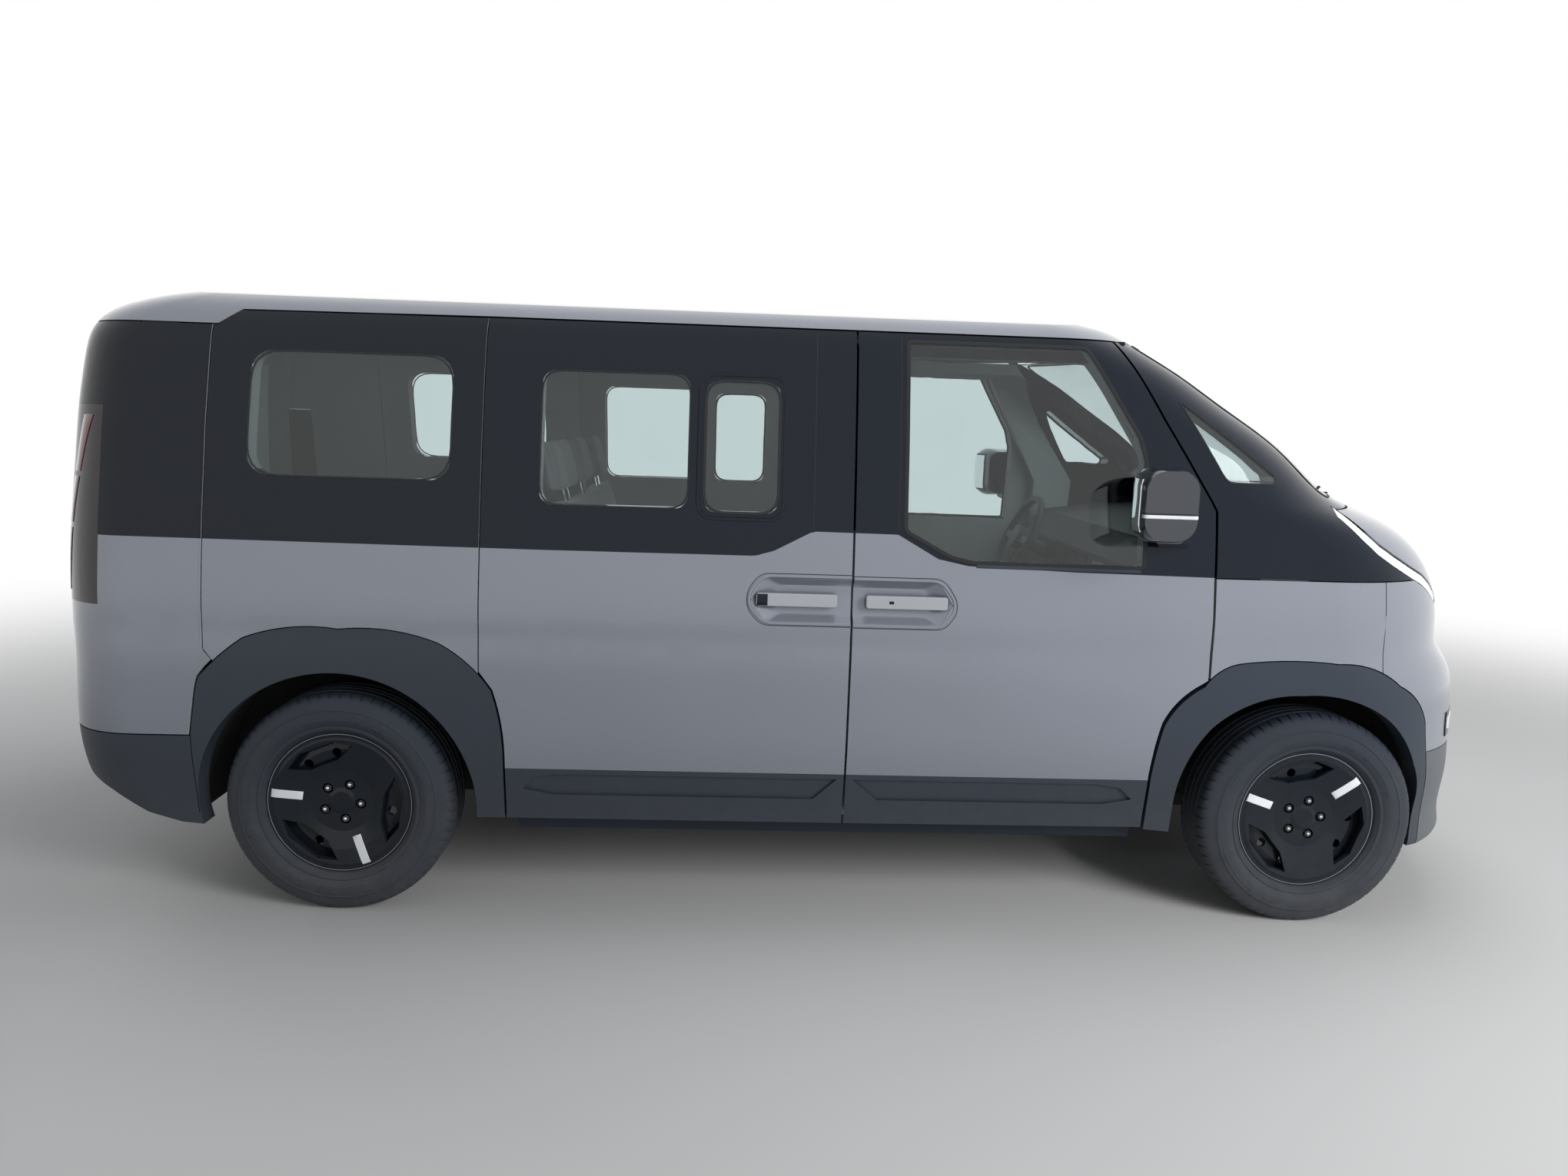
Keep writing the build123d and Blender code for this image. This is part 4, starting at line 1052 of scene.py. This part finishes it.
# %% One crowned pad
SEAM_AT = 0.62
SEAM_WIDTH = 0.035
SEAM_DEPTH = 0.16
CHANNEL_WIDTH = 0.16
CHANNEL_DEPTH = 0.12
PIPING = 0.012


def pad(name, centre, size, lean, body, channels=4, cells=22):
    """A crowned, seamed cushion; size is length, width and thickness."""
    work = bmesh.new()
    bmesh.ops.create_cube(work, size=2.0)
    bmesh.ops.subdivide_edges(work, edges=work.edges, cuts=cells, use_grid_fill=True)
    half = Vector(size) / 2
    turn = Matrix.Rotation(math.radians(lean), 4, "Y")
    for vert in work.verts:
        u, v, w = vert.co
        pull = 1 - 0.05 * (1 - u * u) * v * v
        crown = (1 - abs(u) ** 5) ** 0.25 * (1 - abs(v) ** 5) ** 0.25
        x = half.x * u * (1 - 0.035 * (1 - v * v) * u * u)
        y = half.y * v * pull
        z = half.z * w * (0.55 + 0.45 * crown)
        if w > 0.5:
            side_seam = math.exp(-(((abs(v) - SEAM_AT) / SEAM_WIDTH) ** 2))
            z -= half.z * SEAM_DEPTH * side_seam
            if abs(v) < 0.6:
                wave = abs(math.sin(math.pi * channels * (u + 1) / 2))
                z -= half.z * CHANNEL_DEPTH * math.exp(-((wave / CHANNEL_WIDTH) ** 2))
        edge = math.exp(-(((abs(w) - 0.35) / 0.08) ** 2)) if max(abs(u), abs(v)) > 0.98 else 0
        x *= 1 - PIPING * edge
        y *= 1 - PIPING * edge
        vert.co = (turn @ Vector((x, y, z))) + Vector(centre)
    piece = shaded(name, work, fabric)
    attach(piece, body)
    return piece


# %% Front seats and rear bench
FLOOR_TOP = 0.385
BACK_TURN = -104
CUSHION_AT = (0.0, 0.290)
BACK_AT = (-0.270, 0.560)
HEAD_AT = (-0.362, 0.975)
HEAD_SIZE = (0.16, 0.26, 0.080)
BASE = ((-0.17, -1), (0.17, -1), (0.18, 1), (-0.18, 1))
BASE_ROWS = ((-1, 0.94), (-0.96, 1.0), (0.96, 1.0), (1, 0.94))
BASE_INSET = 0.14
BASE_MIDDLE = 0.120
BASE_HALF = 0.119
POST_SIDES = 10
POST_RADIUS = 0.006
POST_FOOT = (-0.330, 0.835)
POST_TOP = (-0.355, 0.945)


def over_floor(x, y, offset):
    """A place over the cabin floor, off the seat's middle by (x, z)."""
    return (x + offset[0], y, FLOOR_TOP + offset[1])


def post_up(name, foot, top):
    """A round post from its foot to its top."""
    points = []
    for place in (foot, top):
        for k in range(POST_SIDES):
            a = 2 * math.pi * k / POST_SIDES
            away = (POST_RADIUS * math.cos(a), POST_RADIUS * math.sin(a), 0)
            points.append(Vector(place) + Vector(away))
    return add_piece(name, points, wrap(2, POST_SIDES), chrome, "body")


def seat(label, x, y, width, heads):
    """Base, cushion, back and head rests that stand for one packed seat."""
    box = []
    for across, slim in BASE_ROWS:
        row = y + across * (width - BASE_INSET) / 2
        for u, w in BASE:
            box.append(Vector((x + u * slim, row, FLOOR_TOP + BASE_MIDDLE + w * BASE_HALF)))
    parts = [add_piece(f"{label}_base", box, wrap(len(BASE_ROWS), len(BASE)), dash_plastic, "body")]
    place = over_floor(x, y, CUSHION_AT)
    parts.append(pad(f"{label}_cushion", place, (0.50, width, 0.140), 0, "body"))
    place = over_floor(x, y, BACK_AT)
    parts.append(pad(f"{label}_back", place, (0.62, width, 0.110), BACK_TURN, "body", channels=5))
    for number, head in enumerate(heads):
        name = f"{label}_head_{number}"
        place = over_floor(x, y + head, HEAD_AT)
        parts.append(pad(name, place, HEAD_SIZE, BACK_TURN, "body", channels=0, cells=12))
        for letter, aside in (("a", -0.045), ("b", 0.045)):
            row = y + head + aside
            foot, top = over_floor(x, row, POST_FOOT), over_floor(x, row, POST_TOP)
            parts.append(post_up(f"{label}_post_{number}_{letter}", foot, top))
    return parts


front_parts = seat("seat_right", 0.500, -0.370, 0.500, [0])
front_parts += seat("seat_left", 0.500, 0.370, 0.500, [0])
for part in front_parts:
    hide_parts("front_seats")
for part in seat("bench", -0.480, 0.0, 1.300, [-0.43, 0, 0.43]):
    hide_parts("rear_bench")

# %% Screens and vents of the dashboard
dash = on_front("dashboard", -1)
patch("driver_display", dash, (0.24, 0.50, 0.04), (1.02, 1.08, 0.02), 0.004, screen_black, "body")
patch("centre_display", dash, (-0.17, 0.12, 0.04), (0.965, 1.075, 0.02), 0.006, screen_black, "body")
for number, y in enumerate((-0.66, -0.30, 0.62)):
    us, vs = (y - 0.06, y + 0.06, 0.03), (1.030, 1.070, 0.02)
    patch(f"vent_{number}", dash, us, vs, 0.003, satin_silver, "body")

# %% [markdown]
# ## Floor, light and camera
# A pale floor and large soft lamps show the shape without strong highlights.
# The world is white for the camera and in reflections, and dimmer as a light,
# so that pale surfaces keep their colour.

# %% Floor and world
FADE_START = 3.0
FADE_END = 9.0
floor_mesh = bpy.data.meshes.new("floor")
floor_mesh.from_pydata([(-40, -30, 0), (40, -30, 0), (40, 60, 0), (-40, 60, 0)], [], [(0, 1, 2, 3)])
floor = linked("floor", floor_mesh)
pale, tree, shader = finish("pale floor", (0.46, 0.46, 0.46), 0.8)
away = mapped(tree, "ShaderNodeVectorMath")
away.operation = "LENGTH"
fade = tree.nodes.new("ShaderNodeMapRange")
fade.interpolation_type = "SMOOTHERSTEP"
fade.inputs["From Min"].default_value = FADE_START
fade.inputs["From Max"].default_value = FADE_END
feed(tree, fade, Value=away.outputs["Value"])
glow = tree.nodes.new("ShaderNodeEmission")
blend = shader_mix(tree, fade.outputs["Result"], shader.outputs[0], glow.outputs[0])
shown = shader_mix(tree, seen_rays(tree), shader.outputs[0], blend)
feed(tree, tree.nodes["Material Output"], Surface=shown)
floor_mesh.materials.append(pale)

world = bpy.data.worlds.new("studio")
bpy.context.scene.world = world
world.use_nodes = True
tree = world.node_tree
light_bg = tree.nodes["Background"]
light_bg.inputs["Color"].default_value = (0.93, 0.96, 1.0, 1)
light_bg.inputs["Strength"].default_value = 0.30
seen_bg = tree.nodes.new("ShaderNodeBackground")
seen_bg.inputs["Color"].default_value = (1, 1, 1, 1)
seen_bg.inputs["Strength"].default_value = 1.0
shown = shader_mix(tree, seen_rays(tree), light_bg.outputs[0], seen_bg.outputs[0])
feed(tree, tree.nodes["World Output"], Surface=shown)

# %% Lamps


def soft_lamp(name, place, aim, size, power):
    """A square area lamp aimed at a point."""
    data = bpy.data.lights.new(name, "AREA")
    data.size = size
    data.energy = power
    lamp = linked(name, data)
    lamp.location = place
    lamp.rotation_euler = (Vector(aim) - Vector(place)).to_track_quat("-Z", "Y").to_euler()
    lamp.visible_glossy = False


soft_lamp("front lamp", (4.6, -5.2, 3.2), (1.6, 0, 0.8), 3.0, 500)
soft_lamp("over lamp", (1.4, 1.0, 6.5), (0.8, 0, 0.8), 4.0, 200)
soft_lamp("back lamp", (-7.0, 5.0, 4.0), (-1.0, 0, 0.9), 4.0, 260)

# %% Camera
CAMERA_PLACE = (-0.2578, -4.2289, 1.5237)
YAW = math.radians(2.739)
PITCH = math.radians(8.371)
ROLL = math.radians(1.926)
LENS = 25.813
FILM_WIDTH = 36.0
right = Vector((math.cos(YAW), -math.sin(YAW), 0))
level = Vector((math.sin(YAW), math.cos(YAW), 0))
up = Vector((0, 0, 1))
forward = level * math.cos(PITCH) - up * math.sin(PITCH)
upward = up * math.cos(PITCH) + level * math.sin(PITCH)
right_r = right * math.cos(ROLL) + upward * math.sin(ROLL)
up_r = -right * math.sin(ROLL) + upward * math.cos(ROLL)
camera_data = bpy.data.cameras.new("camera")
camera_data.lens = LENS
camera_data.sensor_width = FILM_WIDTH
camera = linked("camera", camera_data)
turn = Matrix((right_r, up_r, -forward)).transposed()
camera.matrix_world = Matrix.Translation(CAMERA_PLACE) @ turn.to_4x4()
bpy.context.scene.camera = camera
bpy.context.scene.view_settings.view_transform = "Standard"
